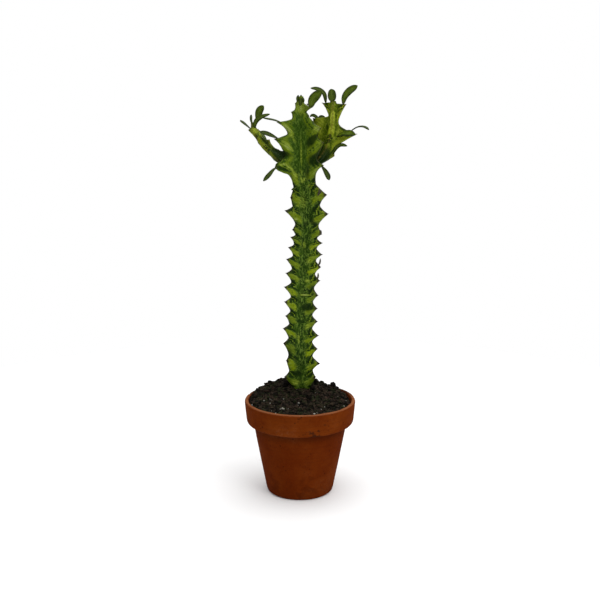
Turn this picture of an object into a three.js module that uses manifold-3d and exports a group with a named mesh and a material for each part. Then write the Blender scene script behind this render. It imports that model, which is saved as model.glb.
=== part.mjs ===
// A potted variegated euphorbia lactea: a three-ribbed succulent stem with toothed ribs and a
// branching, leafy crown, standing in potting soil in a round clay pot with a banded rim.
// Millimetres, +Z up. The origin is the centre of the pot's foot, on the surface it stands on,
// and the side with the two spreading branches faces -Y.
import * as THREE from 'three';
import { mergeVertices } from 'three/addons/utils/BufferGeometryUtils.js';
import Module from 'manifold-3d';

const wasm = await Module();
wasm.setup();

// Clay pot: an 85 mm pot with a plain band round its rim and a drain hole in its floor.
const POT = {
  height: 71.5,
  rimRadius: 42.5,
  bandHeight: 17,
  bandFootRadius: 41,
  neckRadius: 35.4,
  footRadius: 25.6,
  wall: 3.3,
  floor: 5,
  drainRadius: 4.5,
  edgeRound: 1.2,
  lip: { depth: 8, taper: 0.8 },
  bandTaper: 2.2,
  ledgeDrop: 5,
  footFillet: { height: 2.5, out: 0.6, in: 1.4 },
  segments: 60,
};

// Potting soil: it fills the pot, lies a little under the rim and is heaped round the stem.
const SOIL = {
  level: 69,
  gap: 0.3,
  mound: { x: -2, y: 18.5, height: 14.6, spread: 21, wallPower: 10 },
  tilt: 1.2,
  crumbHeight: 0.5,
  edgeDepth: 3,
  rings: 12,
  sectors: 48,
  lumps: 26,
  lumpSize: [0.9, 2.1],
  lumpShape: [1.25, 0.9, 0.8],
  lumpLift: 0.15,
  clod: { x: 25.8, y: 22, size: 3.4, lift: 0.5 },
};

// The crumbly surface is a sum of waves: how fast each one runs along X and Y, its phase and height.
const CRUMB_WAVES = [
  [0.83, 0.71, 0.7, 0.6],
  [0.83, -0.71, 1.5, 0.6],
  [1.37, -0.9, 0, 0.8],
  [0.6, 1.53, 3.6, 0.6],
];

// Shapes shared by the stem and its branches: half a crest's width at the teeth and between them,
// where a rib's flank begins, and how a tooth rises to its tip and drops into the notch above it.
const CREST = { tip: 0.5, notch: 1.3, flankShare: 0.7 };
const FLANK = 0.84;
const TOOTH = { late: 1.5, steps: [0.3, 0.62, 0.86, 1], shoulder: { place: 0.45, height: 0.4 } };
const SPINE = { length: 0.9, radius: 0.42, sunk: 1.2, spread: 0.5, rise: 0.15 };
const LEAF = {
  middle: 0.85,
  margin: 0.62,
  fold: 0.12,
  neck: 0.2,
  widest: 1.3,
  stations: 5,
  seat: 1.2,
  sunk: 1.4,
};
const SEAT_GAP = 0.35;

// The stem's axis rises from its buried foot to the growing tip.
const STEM_FOOT = 42;
const STEM_AXIS = [
  [0.9, 11, STEM_FOOT],
  [0.9, 10.9, 84],
  [0.2, 9.8, 114],
  [1.3, 8.7, 146],
  [3.3, 7.4, 181],
  [5.2, 6.5, 207],
  [3.7, 5.6, 234],
  [1.1, 5, 252],
  [0.6, 4.5, 274],
  [0.3, 4.1, 298],
];

// Each rib of the stem: its direction round the axis in degrees from +X, how far above a tooth
// the notch lies as a share of the way to the next tooth, and its teeth from the bottom up, each
// given as its height above the floor and its reach from the axis, with its thorns. A third number
// is how late the tooth flares out: large for a hooked tooth, under one for a full lobe.
const STEM_RIBS = [
  {
    turn: 90,
    hook: 0.28,
    teeth: [
      [93, 13], [107, 13], [118, 14.8], [129, 14.5], [139, 13.6], [149.5, 14.2], [161, 14.8],
      [171.5, 14.5], [181.5, 14.8], [190, 13.8], [197, 12.5], [207.5, 15], [221, 16.5], [236, 13],
      [252, 20, 4], [268, 18.5], [279, 14], [287, 8.6], [293, 5],
    ],
  },
  {
    turn: 210,
    hook: 0.17,
    teeth: [
      [88.8, 14.6], [103.3, 12.2], [115.2, 14.6], [126.5, 15], [136, 13.4], [146.9, 14.6],
      [158.3, 15.6], [168.7, 14.8], [179.2, 15], [187.8, 14.2], [195.5, 13], [201.3, 12],
      [217.1, 18.4], [226.3, 12.8], [248.5, 19.9, 5], [267.8, 20], [279.7, 16.4], [287, 6.8],
      [293, 4.4],
    ],
  },
  {
    turn: 330,
    hook: 0.36,
    teeth: [
      [87, 12], [98.2, 16], [110, 14.3], [120.9, 14.9], [131.9, 13.6], [141.9, 12.8],
      [152.2, 12.9], [163.6, 13.6], [174.1, 13.7], [183.8, 14.1], [192.5, 13.3], [198.7, 12.2],
      [212.8, 17.1], [226.9, 19], [247.4, 20.7, 3.6], [264, 20.4], [275, 17.8], [284, 8], [290, 10.6],
    ],
  },
];

// The crown is turned a little against the trunk.
const STEM_TWIST = [[210, 0], [250, -14]];

// Crest radius between the teeth, groove radius between the ribs, and half a rib's thickness, each
// by height above the floor.
const STEM_NOTCH = [
  [42, 3.4], [45, 6], [56, 7], [74, 7.6], [80, 9.4], [86, 10.8], [106, 10.6], [142, 9.4],
  [178, 10], [198, 9], [221, 11.6], [234, 9.3], [242, 9.6], [252, 11], [261, 12.6], [270, 10.8],
  [280, 7.4], [286, 5.2], [292, 3.4], [298, 2.3],
];
const STEM_GROOVE = [
  [42, 2.6], [45, 4.8], [74, 5.4], [82, 6.4], [140, 5.7], [198, 5.3], [221, 6.2], [240, 5.4],
  [260, 5.6], [275, 4.6], [286, 3.1], [298, 1.6],
];
const STEM_THICK = [[42, 1.6], [45, 2.6], [260, 2.8], [275, 2.4], [287, 1.5], [298, 0.9]];

// Side branches: the axis points from inside the stem outwards, and the ribs as on the stem, with
// every height counted along the branch's axis from its first point.
const LEFT_BRANCH = {
  axis: [
    [-6, 3.5, 248.5], [-14.5, 2.6, 253.4], [-23, 5, 260.4], [-30, 7.5, 268], [-33.6, 9, 274],
    [-34.8, 10.2, 279],
  ],
  ribs: [
    { turn: 5, hook: 0.3, teeth: [[15, 5.4], [26, 6], [37, 3.4]] },
    { turn: 128, hook: 0.3, teeth: [[13, 6.4], [29, 4.2], [40, 6.4]] },
    { turn: 236, hook: 0.3, teeth: [[17, 5.4], [32, 4], [39, 4.4]] },
  ],
  notch: [[0, 7], [9, 6.8], [15, 4.6], [22, 3.1], [32, 2.5], [40, 2.2], [44, 1.2]],
  groove: [[0, 5], [9, 4.6], [15, 3], [22, 2.1], [40, 1.5], [44, 0.8]],
  thick: [[0, 2], [14, 1.7], [30, 1.2], [44, 0.6]],
};
const RIGHT_BRANCH = {
  axis: [
    [6, 3.6, 250.5], [13.4, 2, 254.5], [20, -0.6, 263.5], [23.2, -2.3, 275], [23.8, -3, 285],
    [23.6, -3.9, 294],
  ],
  ribs: [
    { turn: -18, hook: 0.3, teeth: [[16, 8.4], [32, 18.2], [48.6, 9]] },
    { turn: 84, hook: 0.3, teeth: [[19, 7.4], [32, 9], [44, 6.6]] },
    { turn: 154, hook: 0.2, teeth: [[18, 9.4], [38.5, 16.2, 0.35], [49, 8.6]] },
    { turn: 262, hook: 0.3, teeth: [[22, 6.8], [34.5, 6], [46, 5]] },
  ],
  notch: [[0, 5], [10, 5.8], [20, 5.8], [30, 4.8], [40, 3.9], [48, 3.4], [52, 1.8]],
  groove: [[0, 4], [10, 4.4], [20, 4.2], [30, 3.4], [40, 2.7], [48, 2.2], [52, 1.1]],
  thick: [[0, 2.2], [20, 2], [40, 1.5], [52, 0.8]],
};

// Leaves. Each grows from a tooth, named by its rib and its number from the bottom, or from a point
// inside the growing tip. lift is how far the middle is raised off the straight line to the tip,
// and face is the way the blade looks.
const STEM_LEAVES = [
  { rib: 1, tooth: 14, tip: [-26.6, -4, 236.9], lift: [1.6, 0, 1.8], width: 2.8, face: [0.5, -0.8, 0.4] },
  { rib: 1, tooth: 15, tip: [-29.1, 2, 272.7], lift: [0, 0, 0.8], width: 3.4, face: [0.2, -0.6, 0.8] },
  { rib: 1, tooth: 16, tip: [-25.1, 0, 282.3], lift: [0, 0, -0.9], width: 2.6, face: [0, -0.25, 1] },
  { rib: 2, tooth: 14, tip: [20.3, -13, 238.3], lift: [1.6, 0, 0.6], width: 4, face: [-0.6, -0.8, 0] },
  { rib: 2, tooth: 18, tip: [15.8, -8, 300.6], lift: [-1.8, -0.6, 1.2], width: 6.4, face: [0.1, -1, 0.1] },
  { rib: 1, tooth: 13, tip: [-8.6, -3, 232], lift: [-0.6, 0, -0.8], width: 1.6, face: [0, -1, 0] },
  { rib: 0, tooth: 14, tip: [9.6, 33.5, 255.5], lift: [0, 0, 1.6], width: 4.2, face: [0.2, -0.3, 1] },
  { rib: 0, tooth: 15, tip: [4.2, 31, 275.5], lift: [0, -0.6, 1.4], width: 4.4, face: [0.7, -0.4, 0.5] },
  { root: [-0.6, 3.6, 295.6], tip: [-2.2, 2.6, 299.4], lift: [-0.5, 0, 0], width: 2.4, face: [-0.4, -1, 0] },
  { root: [0.8, 3.6, 295.6], tip: [3.4, 2.4, 299], lift: [0.3, 0, 0.4], width: 2.4, face: [0.5, -1, 0] },
  { root: [0.4, 4.4, 295.6], tip: [0.6, 7, 299.2], lift: [0, 0.4, 0.4], width: 2.2, face: [0, 1, 0.3] },
];
const LEFT_LEAVES = [
  { rib: 1, tooth: 2, tip: [-44.9, 21, 281], lift: [0, 0, -0.4], width: 2, face: [0.2, -0.4, 1] },
  {
    root: [-34.6, 10, 276.8],
    tip: [-35.9, 15, 285.2],
    lift: [-0.9, 0, 0.3],
    width: 2.4,
    face: [0.7, -0.7, 0.1],
  },
  {
    root: [-34.2, 9.6, 277],
    tip: [-25.8, 8, 290.6],
    lift: [-1.4, 0, 1.8],
    width: 5.6,
    face: [0.15, -1, 0.1],
    widest: 2.2,
  },
  { rib: 0, tooth: 2, tip: [-21.8, 2, 284.9], lift: [-3.2, 0, 2.2], width: 4.2, face: [0.1, -0.8, 0.6] },
  { rib: 1, tooth: 1, tip: [-33, 21, 275], lift: [0, 0, 1.6], width: 3.6, face: [0.5, -0.3, 0.8] },
];
const RIGHT_LEAVES = [
  { rib: 2, tooth: 2, tip: [7.9, 0, 303.2], lift: [3.4, 0, 3.4], width: 3.6, face: [0.2, -0.8, 0.6] },
  {
    root: [23.6, -3.8, 291.6],
    tip: [22, -6, 302.7],
    lift: [-0.3, -0.4, 0],
    width: 5.6,
    face: [0.05, -1, 0.1],
  },
  { rib: 0, tooth: 2, tip: [40.6, -9, 304.2], lift: [-1.4, 0, 1.6], width: 5, face: [-0.1, -1, 0.2] },
  { rib: 0, tooth: 1, tip: [47.5, -28, 273.6], lift: [0, 0, 2.2], width: 3.4, face: [0.1, 0.1, 1] },
  { rib: 0, tooth: 0, tip: [33.9, -8, 262.9], lift: [-0.6, 0, 2.4], width: 3.6, face: [-0.2, -0.8, 0.7] },
  { rib: 2, tooth: 1, tip: [13, 6, 286.4], lift: [-1, 0, 1.2], width: 3, face: [0.1, -0.9, 0.3] },
  { rib: 1, tooth: 1, tip: [26.5, 17.5, 284.5], lift: [0, 0, 1.8], width: 4.4, face: [0.2, -0.3, 1] },
];

// Looks, as read off the photograph.
const CLAY = { color: 0x8a4523, roughness: 0.8, metalness: 0 };
const EARTH = { color: 0x2a2018, roughness: 1, metalness: 0 };
const STEM_SKIN = { color: 0x4a6616, roughness: 0.5, metalness: 0 };
const YOUNG_SKIN = { color: 0x7c8621, roughness: 0.5, metalness: 0 };

// The value at a place along a list of [place, value] pairs, straight between them.
function along(list, place) {
  if (place <= list[0][0]) return list[0][1];
  for (let i = 1; i < list.length; i += 1) {
    const [low, lowValue] = list[i - 1];
    const [high, highValue] = list[i];
    if (place <= high) return THREE.MathUtils.lerp(lowValue, highValue, (place - low) / (high - low));
  }
  return list[list.length - 1][1];
}

// A small repeatable random source, so that the soil is the same each time.
function seeded(seed) {
  let state = seed;
  return () => {
    state = (state * 16807) % 2147483647;
    return state / 2147483647;
  };
}

function vector([x, y, z]) {
  return new THREE.Vector3(x, y, z);
}

// Six times the volume under the triangles: its sign says which way the faces look.
function signedVolume(position, index) {
  const corner = new THREE.Vector3();
  const next = new THREE.Vector3();
  const last = new THREE.Vector3();
  let sum = 0;
  for (let i = 0; i < index.length; i += 3) {
    corner.fromBufferAttribute(position, index[i]);
    next.fromBufferAttribute(position, index[i + 1]);
    last.fromBufferAttribute(position, index[i + 2]);
    sum += corner.dot(next.cross(last));
  }
  return sum;
}

// A closed body lofted over rings of equally many points, with both ends filled from their middle.
function loft(rings) {
  const count = rings[0].length;
  const points = rings.flat();
  const index = [];
  for (let ring = 0; ring < rings.length - 1; ring += 1) {
    for (let i = 0; i < count; i += 1) {
      const next = (i + 1) % count;
      const a = ring * count + i;
      const b = ring * count + next;
      index.push(a, b, b + count, a, b + count, a + count);
    }
  }
  const middle = (ring) => ring.reduce((sum, p) => sum.add(p), new THREE.Vector3()).divideScalar(count);
  const first = points.length;
  const last = first + 1;
  points.push(middle(rings[0]), middle(rings[rings.length - 1]));
  const top = (rings.length - 1) * count;
  for (let i = 0; i < count; i += 1) {
    const next = (i + 1) % count;
    index.push(first, next, i, last, top + i, top + next);
  }
  const geometry = new THREE.BufferGeometry().setFromPoints(points);
  if (signedVolume(geometry.attributes.position, index) < 0) index.reverse();
  geometry.setIndex(index);
  return geometry;
}

function toSolid(geometry) {
  const bare = geometry.clone();
  bare.deleteAttribute('normal');
  bare.deleteAttribute('uv');
  const merged = mergeVertices(bare, 1e-4);
  const mesh = new wasm.Mesh({
    numProp: 3,
    vertProperties: Float32Array.from(merged.attributes.position.array),
    triVerts: Uint32Array.from(merged.index.array),
  });
  return new wasm.Manifold(mesh);
}

function toGeometry(solid) {
  const mesh = solid.getMesh();
  const geometry = new THREE.BufferGeometry();
  geometry.setAttribute('position', new THREE.BufferAttribute(Float32Array.from(mesh.vertProperties), 3));
  geometry.setIndex(new THREE.BufferAttribute(Uint32Array.from(mesh.triVerts), 1));
  return geometry;
}

function join(solids) {
  return solids.reduce((whole, solid) => whole.add(solid));
}

// The largest piece of a solid: what a cut leaves loose is dropped.
function largest(solid) {
  const pieces = solid.decompose();
  return pieces.reduce((best, piece) => (piece.volume() > best.volume() ? piece : best));
}

function subPart(name, geometry, look) {
  geometry.computeVertexNormals();
  const mesh = new THREE.Mesh(geometry, new THREE.MeshStandardMaterial(look));
  mesh.name = name;
  return mesh;
}

// The rows that a rib's crest steps through, each its place, its radius and half its width: shared
// rows under its teeth, then six rows a tooth, then the rows of the end.
function crestRows(rib, notch, start, end) {
  const rows = start.map((place) => [place, along(notch, place), CREST.notch]);
  let below = start[start.length - 1];
  rib.teeth.forEach(([tip, reach, late = TOOTH.late], i) => {
    const crestRow = (place, height) => [
      place,
      THREE.MathUtils.lerp(along(notch, place), reach - SPINE.length, height),
      THREE.MathUtils.lerp(CREST.notch, CREST.tip, height),
    ];
    const following = i + 1 < rib.teeth.length ? rib.teeth[i + 1][0] : end[0];
    const above = tip + rib.hook * (following - tip);
    for (const share of TOOTH.steps) rows.push(crestRow(below + share * (tip - below), share ** late));
    rows.push(crestRow(tip + TOOTH.shoulder.place * (above - tip), TOOTH.shoulder.height));
    rows.push(crestRow(above, 0));
    below = above;
  });
  for (const place of end) rows.push([place, along(notch, place), CREST.tip]);
  return rows;
}

// Places round a stem's axis: at gives the point at a place along the axis, turned round it from
// +X towards +Y, so far out from it and so far aside.
function stemFrame({ axis, base, twist }) {
  const curve = new THREE.CatmullRomCurve3(axis.map(vector), false, 'centripetal');
  const length = curve.getLength();
  return (place, turn, out, aside = 0) => {
    const share = THREE.MathUtils.clamp((place - base) / length, 0, 1);
    const centre = curve.getPointAt(share);
    const ahead = curve.getTangentAt(share);
    const right = new THREE.Vector3(1, 0, 0).projectOnPlane(ahead).normalize();
    const back = ahead.clone().cross(right);
    const angle = THREE.MathUtils.degToRad(turn + along(twist, place));
    const outward = right.clone().multiplyScalar(Math.cos(angle)).addScaledVector(back, Math.sin(angle));
    const sideways = ahead.clone().cross(outward);
    return centre.addScaledVector(outward, out).addScaledVector(sideways, aside);
  };
}

// The bare ribbed stem. Its rings run through the same step of every rib's teeth, so each tip and
// each notch is a corner of the mesh. grow makes it that much larger all round.
function ribbedStem(shape, grow = 0) {
  const { ribs, notch, groove, thick, start, end } = shape;
  const at = stemFrame(shape);
  const rows = ribs.map((rib) => crestRows(rib, notch, start, end));
  const rings = rows[0].map((unused, step) => ribs.flatMap((rib, k) => {
    const following = (k + 1) % ribs.length;
    const [place, crest, width] = rows[k][step];
    const [nextPlace] = rows[following][step];
    const valleyPlace = (place + nextPlace) / 2;
    const nextTurn = ribs[following].turn + (following === 0 ? 360 : 0);
    const half = along(thick, place) + grow / 2;
    const edge = Math.min(width, CREST.flankShare * half) + grow / 2;
    const flank = Math.min(along(notch, place), crest) * FLANK + grow;
    return [
      at(place, rib.turn, flank, -half),
      at(place, rib.turn, crest + grow, -edge),
      at(place, rib.turn, crest + grow, edge),
      at(place, rib.turn, flank, half),
      at(valleyPlace, (rib.turn + nextTurn) / 2, along(groove, valleyPlace) + grow),
    ];
  }));
  return toSolid(loft(rings));
}

// The pair of thorns on a tooth: slim three-sided cones that lean to the sides and a little up.
function thorns(at, turn, [place, reach]) {
  const root = at(place, turn, reach - SPINE.length - SPINE.sunk);
  const outward = at(place, turn, reach).sub(root).normalize();
  return [-SPINE.spread, SPINE.spread].map((lean) => {
    const direction = outward.clone().add(at(place, turn, 0, lean)).sub(at(place, turn, 0));
    direction.z += SPINE.rise;
    const cone = new THREE.ConeGeometry(SPINE.radius, SPINE.length + SPINE.sunk, 3, 1);
    cone.translate(0, (SPINE.length + SPINE.sunk) / 2, 0);
    const upright = new THREE.Vector3(0, 1, 0);
    cone.applyQuaternion(new THREE.Quaternion().setFromUnitVectors(upright, direction.normalize()));
    cone.translate(root.x, root.y, root.z);
    return toSolid(cone);
  });
}

// A fleshy leaf: a narrow root that widens to a rounded blade, folded a little along its middle.
function leaf({ rib, tooth, root, tip, lift, width, face, widest = LEAF.widest }, ribs, at) {
  const [place, reach] = root ? [] : ribs[rib].teeth[tooth];
  const start = root ? vector(root) : at(place, ribs[rib].turn, reach - LEAF.seat);
  const inner = root ? vector(root) : at(place, ribs[rib].turn, reach - LEAF.seat - LEAF.sunk);
  const end = vector(tip);
  const control = start.clone().lerp(end, 0.5).addScaledVector(vector(lift), 2);
  const curve = new THREE.QuadraticBezierCurve3(start, control, end);
  if (root) inner.addScaledVector(curve.getTangent(0), -LEAF.sunk);
  const rings = [];
  for (let i = -1; i <= LEAF.stations; i += 1) {
    const share = Math.max(i, 0) / LEAF.stations;
    const centre = i < 0 ? inner : curve.getPoint(share);
    const ahead = curve.getTangent(share);
    const side = ahead.clone().cross(vector(face)).normalize();
    const up = side.clone().cross(ahead).normalize();
    const swell = LEAF.neck + (1 - LEAF.neck) * Math.sin(Math.PI * share ** widest);
    const half = Math.max(0.5 * width * swell, 0.65 * LEAF.margin);
    const fold = LEAF.fold * half;
    const point = (x, z) => centre.clone().addScaledVector(side, x).addScaledVector(up, z);
    rings.push([
      point(-half, fold + LEAF.margin / 2),
      point(0, LEAF.middle / 2 - fold),
      point(half, fold + LEAF.margin / 2),
      point(half, fold - LEAF.margin / 2),
      point(0, -LEAF.middle / 2 - fold),
      point(-half, fold - LEAF.margin / 2),
    ]);
  }
  return toSolid(loft(rings));
}

// A stem with its thorns and leaves, grown together in one body.
function leafyStem(shape, leaves) {
  const at = stemFrame(shape);
  const thornPairs = shape.ribs.flatMap((rib) => rib.teeth.flatMap((tooth) => thorns(at, rib.turn, tooth)));
  const blades = leaves.map((blade) => leaf(blade, shape.ribs, at));
  return join([ribbedStem(shape), ...thornPairs, ...blades]);
}

// The inside of the pot's section, from the mouth down to the floor.
function potInside() {
  const bandFoot = POT.height - POT.bandHeight;
  const mouth = POT.rimRadius - POT.wall;
  const foot = POT.footRadius - POT.wall;
  return [
    [mouth, POT.height - POT.edgeRound],
    [mouth - POT.lip.taper, POT.height - POT.lip.depth],
    [mouth - POT.bandTaper, bandFoot + 1],
    [POT.neckRadius - POT.wall, bandFoot - POT.ledgeDrop],
    [foot + POT.footFillet.out, POT.floor + POT.footFillet.height],
    [foot - POT.footFillet.in, POT.floor],
  ];
}

// The pot: its section runs from the drain hole round the outside, over the lip and down inside.
function makePot() {
  const bandFoot = POT.height - POT.bandHeight;
  const round = POT.edgeRound;
  const lip = POT.rimRadius - POT.wall / 2;
  const outside = [
    [POT.drainRadius, 0],
    [POT.footRadius - round, 0],
    [POT.footRadius - 0.3 * round, 0.3 * round],
    [POT.footRadius, round],
    [(POT.footRadius + POT.neckRadius) / 2, bandFoot / 2],
    [POT.neckRadius, bandFoot - 1.2],
    [POT.neckRadius + 0.5, bandFoot - 0.2],
    [POT.bandFootRadius - round, bandFoot],
    [POT.bandFootRadius - 0.3 * round, bandFoot + 0.4 * round],
    [POT.bandFootRadius, bandFoot + 1.3 * round],
    [POT.rimRadius - 0.15, POT.height - 2 * round],
    [POT.rimRadius - 0.35 * round, POT.height - 0.7 * round],
    [lip + 0.5, POT.height],
    [lip - 0.5, POT.height],
    [POT.rimRadius - POT.wall + 0.3 * round, POT.height - 0.4 * round],
  ];
  const section = [...outside, ...potInside(), [POT.drainRadius, POT.floor], [POT.drainRadius, 0]];
  const profile = section.map(([r, z]) => new THREE.Vector2(r, z));
  const geometry = new THREE.LatheGeometry(profile, POT.segments);
  geometry.rotateX(Math.PI / 2);
  const solid = toSolid(geometry);
  return subPart('pot', toGeometry(solid), CLAY);
}

// Height of the soil: level, heaped round the stem, a little lower to the right, with crumbs.
function soilHeight(x, y) {
  const { x: moundX, y: moundY, height, spread, wallPower } = SOIL.mound;
  const distance = Math.hypot(x - moundX, y - moundY);
  const fromWall = 1 - (Math.hypot(x, y) / (POT.rimRadius - POT.wall)) ** wallPower;
  const heap = height * Math.exp(-((distance / spread) ** 2) / 2) * Math.max(fromWall, 0);
  const slope = (SOIL.tilt * (y - x)) / (2 * POT.rimRadius);
  const wave = ([alongX, alongY, phase, rise]) => rise * Math.sin(alongX * x + alongY * y + phase);
  const crumbs = CRUMB_WAVES.reduce((sum, each) => sum + wave(each), 0);
  return SOIL.level + heap + slope + SOIL.crumbHeight * crumbs;
}

function makeSoil(stemHole) {
  const inside = potInside().map(([r, z]) => [z, r - SOIL.gap]).reverse();
  const wallAt = (z) => along(inside, z);
  const rings = [];
  const circle = (radius, height) => Array.from({ length: SOIL.sectors }, (unused, i) => {
    const angle = (2 * Math.PI * i) / SOIL.sectors;
    const x = radius * Math.cos(angle);
    const y = radius * Math.sin(angle);
    return new THREE.Vector3(x, y, height ?? soilHeight(x, y));
  });
  const bottom = POT.floor + SOIL.gap;
  for (const height of [bottom, ...inside.slice(1, 4).map(([z]) => z)]) {
    rings.push(circle(wallAt(height), height));
  }
  const edge = wallAt(SOIL.level - SOIL.edgeDepth);
  for (let i = SOIL.rings; i >= 1; i -= 1) rings.push(circle((edge * i) / SOIL.rings));
  const bed = toSolid(loft(rings));
  const random = seeded(4711);
  const lumpAt = (x, y, size, lift = SOIL.lumpLift) => {
    const lump = new THREE.IcosahedronGeometry(size, 0);
    lump.rotateX(Math.PI * random());
    lump.scale(...SOIL.lumpShape);
    lump.rotateZ(Math.PI * random());
    lump.translate(x, y, soilHeight(x, y) + lift * size);
    return toSolid(lump);
  };
  const lumps = Array.from({ length: SOIL.lumps }, () => {
    const angle = 2 * Math.PI * random();
    const away = (edge - SOIL.edgeDepth) * Math.sqrt(random());
    const size = THREE.MathUtils.lerp(...SOIL.lumpSize, random());
    return lumpAt(away * Math.cos(angle), away * Math.sin(angle), size);
  });
  const clod = lumpAt(SOIL.clod.x, SOIL.clod.y, SOIL.clod.size, SOIL.clod.lift);
  const soil = join([bed, clod, ...lumps]).subtract(stemHole);
  return subPart('soil', toGeometry(largest(soil)), EARTH);
}

const stemShape = {
  axis: STEM_AXIS,
  base: STEM_FOOT,
  ribs: STEM_RIBS,
  notch: STEM_NOTCH,
  groove: STEM_GROOVE,
  thick: STEM_THICK,
  twist: STEM_TWIST,
  start: [42, 45, 56, 74, 80],
  end: [296, 298],
};

function makeStem() {
  return subPart('main_stem', toGeometry(leafyStem(stemShape, STEM_LEAVES)), STEM_SKIN);
}

function makeBranch(name, branch, leaves, end, stemRoom) {
  const shape = { ...branch, base: 0, twist: [[0, 0]], start: [0, 4, 8], end };
  const whole = leafyStem(shape, leaves).subtract(stemRoom);
  return subPart(name, toGeometry(largest(whole)), YOUNG_SKIN);
}

const stemRoom = ribbedStem(stemShape, SEAT_GAP);

const group = new THREE.Group();
group.add(makePot());
group.add(makeSoil(stemRoom));
group.add(makeStem());
group.add(makeBranch('left_branch', LEFT_BRANCH, LEFT_LEAVES, [42, 43.5], stemRoom));
group.add(makeBranch('right_branch', RIGHT_BRANCH, RIGHT_LEAVES, [50.5, 52], stemRoom));

export default group;
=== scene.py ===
# Potted variegated euphorbia lactea: the looks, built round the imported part. Metres, +Z up.
import bpy
import math
import random
import numpy as np
from mathutils import Matrix, Vector, noise


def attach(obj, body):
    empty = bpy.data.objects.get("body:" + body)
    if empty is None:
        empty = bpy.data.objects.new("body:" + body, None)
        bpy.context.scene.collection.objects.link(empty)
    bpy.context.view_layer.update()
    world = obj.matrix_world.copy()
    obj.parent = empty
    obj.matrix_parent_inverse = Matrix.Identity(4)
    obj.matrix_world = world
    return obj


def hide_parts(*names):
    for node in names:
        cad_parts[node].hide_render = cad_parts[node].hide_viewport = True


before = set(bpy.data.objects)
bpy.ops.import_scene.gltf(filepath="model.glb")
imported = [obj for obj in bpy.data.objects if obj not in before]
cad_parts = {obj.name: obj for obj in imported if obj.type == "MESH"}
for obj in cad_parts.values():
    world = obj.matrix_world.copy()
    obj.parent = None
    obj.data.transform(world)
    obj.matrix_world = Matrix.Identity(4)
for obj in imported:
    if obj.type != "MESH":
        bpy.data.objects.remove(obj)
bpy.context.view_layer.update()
mm = 0.001


# small helpers

def pickOnly(piece=None):
    if bpy.context.mode != "OBJECT":
        bpy.ops.object.mode_set(mode="OBJECT")
    bpy.ops.object.select_all(action="DESELECT")
    if piece:
        piece.select_set(True)
        bpy.context.view_layer.objects.active = piece


def nameIt(piece, name):
    piece.name = name
    piece.data.name = name
    return piece


def applyPlace(piece):
    pickOnly(piece)
    bpy.ops.object.transform_apply(location=True, rotation=True, scale=True)


def applyModifier(piece, kind, **settings):
    pickOnly(piece)
    modifier = piece.modifiers.new(kind.title(), kind)
    for key, value in settings.items():
        setattr(modifier, key, value)
    bpy.ops.object.modifier_apply(modifier=modifier.name)


def editAll(piece):
    pickOnly(piece)
    bpy.ops.object.mode_set(mode="EDIT")
    bpy.ops.mesh.select_mode(type="VERT")
    bpy.ops.mesh.select_all(action="SELECT")


def pointsOf(piece):
    points = np.zeros(len(piece.data.vertices) * 3)
    piece.data.vertices.foreach_get("co", points)
    return points.reshape(-1, 3)


def placePoints(piece, points):
    piece.data.vertices.foreach_set("co", np.ascontiguousarray(points, float).ravel())
    piece.data.update()


def normalsOf(piece):
    normals = np.zeros(len(piece.data.vertices) * 3)
    piece.data.vertex_normals.foreach_get("vector", normals)
    return normals.reshape(-1, 3)


def paint(piece, name, values):
    layer = piece.data.attributes.get(name) or piece.data.attributes.new(name, "FLOAT", "POINT")
    layer.data.foreach_set("value", np.ascontiguousarray(values, np.float32))


def selectVerts(piece, chosen):
    bpy.ops.object.mode_set(mode="OBJECT")
    piece.data.edges.foreach_set("select", np.zeros(len(piece.data.edges), bool))
    piece.data.polygons.foreach_set("select", np.zeros(len(piece.data.polygons), bool))
    piece.data.vertices.foreach_set("select", np.asarray(chosen, bool))
    bpy.ops.object.mode_set(mode="EDIT")
    bpy.ops.mesh.select_mode(type="VERT")


def cutUpright(piece, cuts):
    # every edge that runs upward is cut into equal lengths, the others stay whole
    pickOnly(piece)
    bpy.ops.object.mode_set(mode="EDIT")
    bpy.ops.mesh.select_mode(type="EDGE")
    bpy.ops.mesh.select_all(action="DESELECT")
    bpy.ops.object.mode_set(mode="OBJECT")
    points = pointsOf(piece)
    ends = np.zeros(len(piece.data.edges) * 2, int)
    piece.data.edges.foreach_get("vertices", ends)
    ends = ends.reshape(-1, 2)
    piece.data.edges.foreach_set("select", np.abs(points[ends[:, 0], 2] - points[ends[:, 1], 2]) > 1e-4)
    bpy.ops.object.mode_set(mode="EDIT")
    bpy.ops.mesh.subdivide(number_cuts=cuts)
    bpy.ops.object.mode_set(mode="OBJECT")


def gather(parts, name):
    # placed copies of a master, as (points in mm, faces), become one smooth piece
    points, faces, start = [], [], 0
    for placed, corners in parts:
        points.append(placed * mm)
        faces += [tuple(v + start for v in face) for face in corners]
        start += len(placed)
    mesh = bpy.data.meshes.new(name)
    mesh.from_pydata(np.concatenate(points).tolist(), [], faces)
    piece = bpy.data.objects.new(name, mesh)
    bpy.context.scene.collection.objects.link(piece)
    pickOnly(piece)
    bpy.ops.object.shade_smooth()
    return piece


def facesOf(piece):
    return [tuple(p.vertices) for p in piece.data.polygons]


def joinAll(pieces, name):
    pickOnly(pieces[0])
    for piece in pieces:
        piece.select_set(True)
    if len(pieces) > 1:
        bpy.ops.object.join()
    return nameIt(bpy.context.active_object, name)


def copyMesh(piece, name):
    twin = piece.copy()
    twin.data = piece.data.copy()
    bpy.context.scene.collection.objects.link(twin)
    return nameIt(twin, name)


def smooth(low, high, value):
    share = np.clip((value - low) / (high - low), 0, 1)
    return share * share * (3 - 2 * share)


def along(table, place):
    places, values = zip(*table)
    return np.interp(place, places, values)


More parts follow.
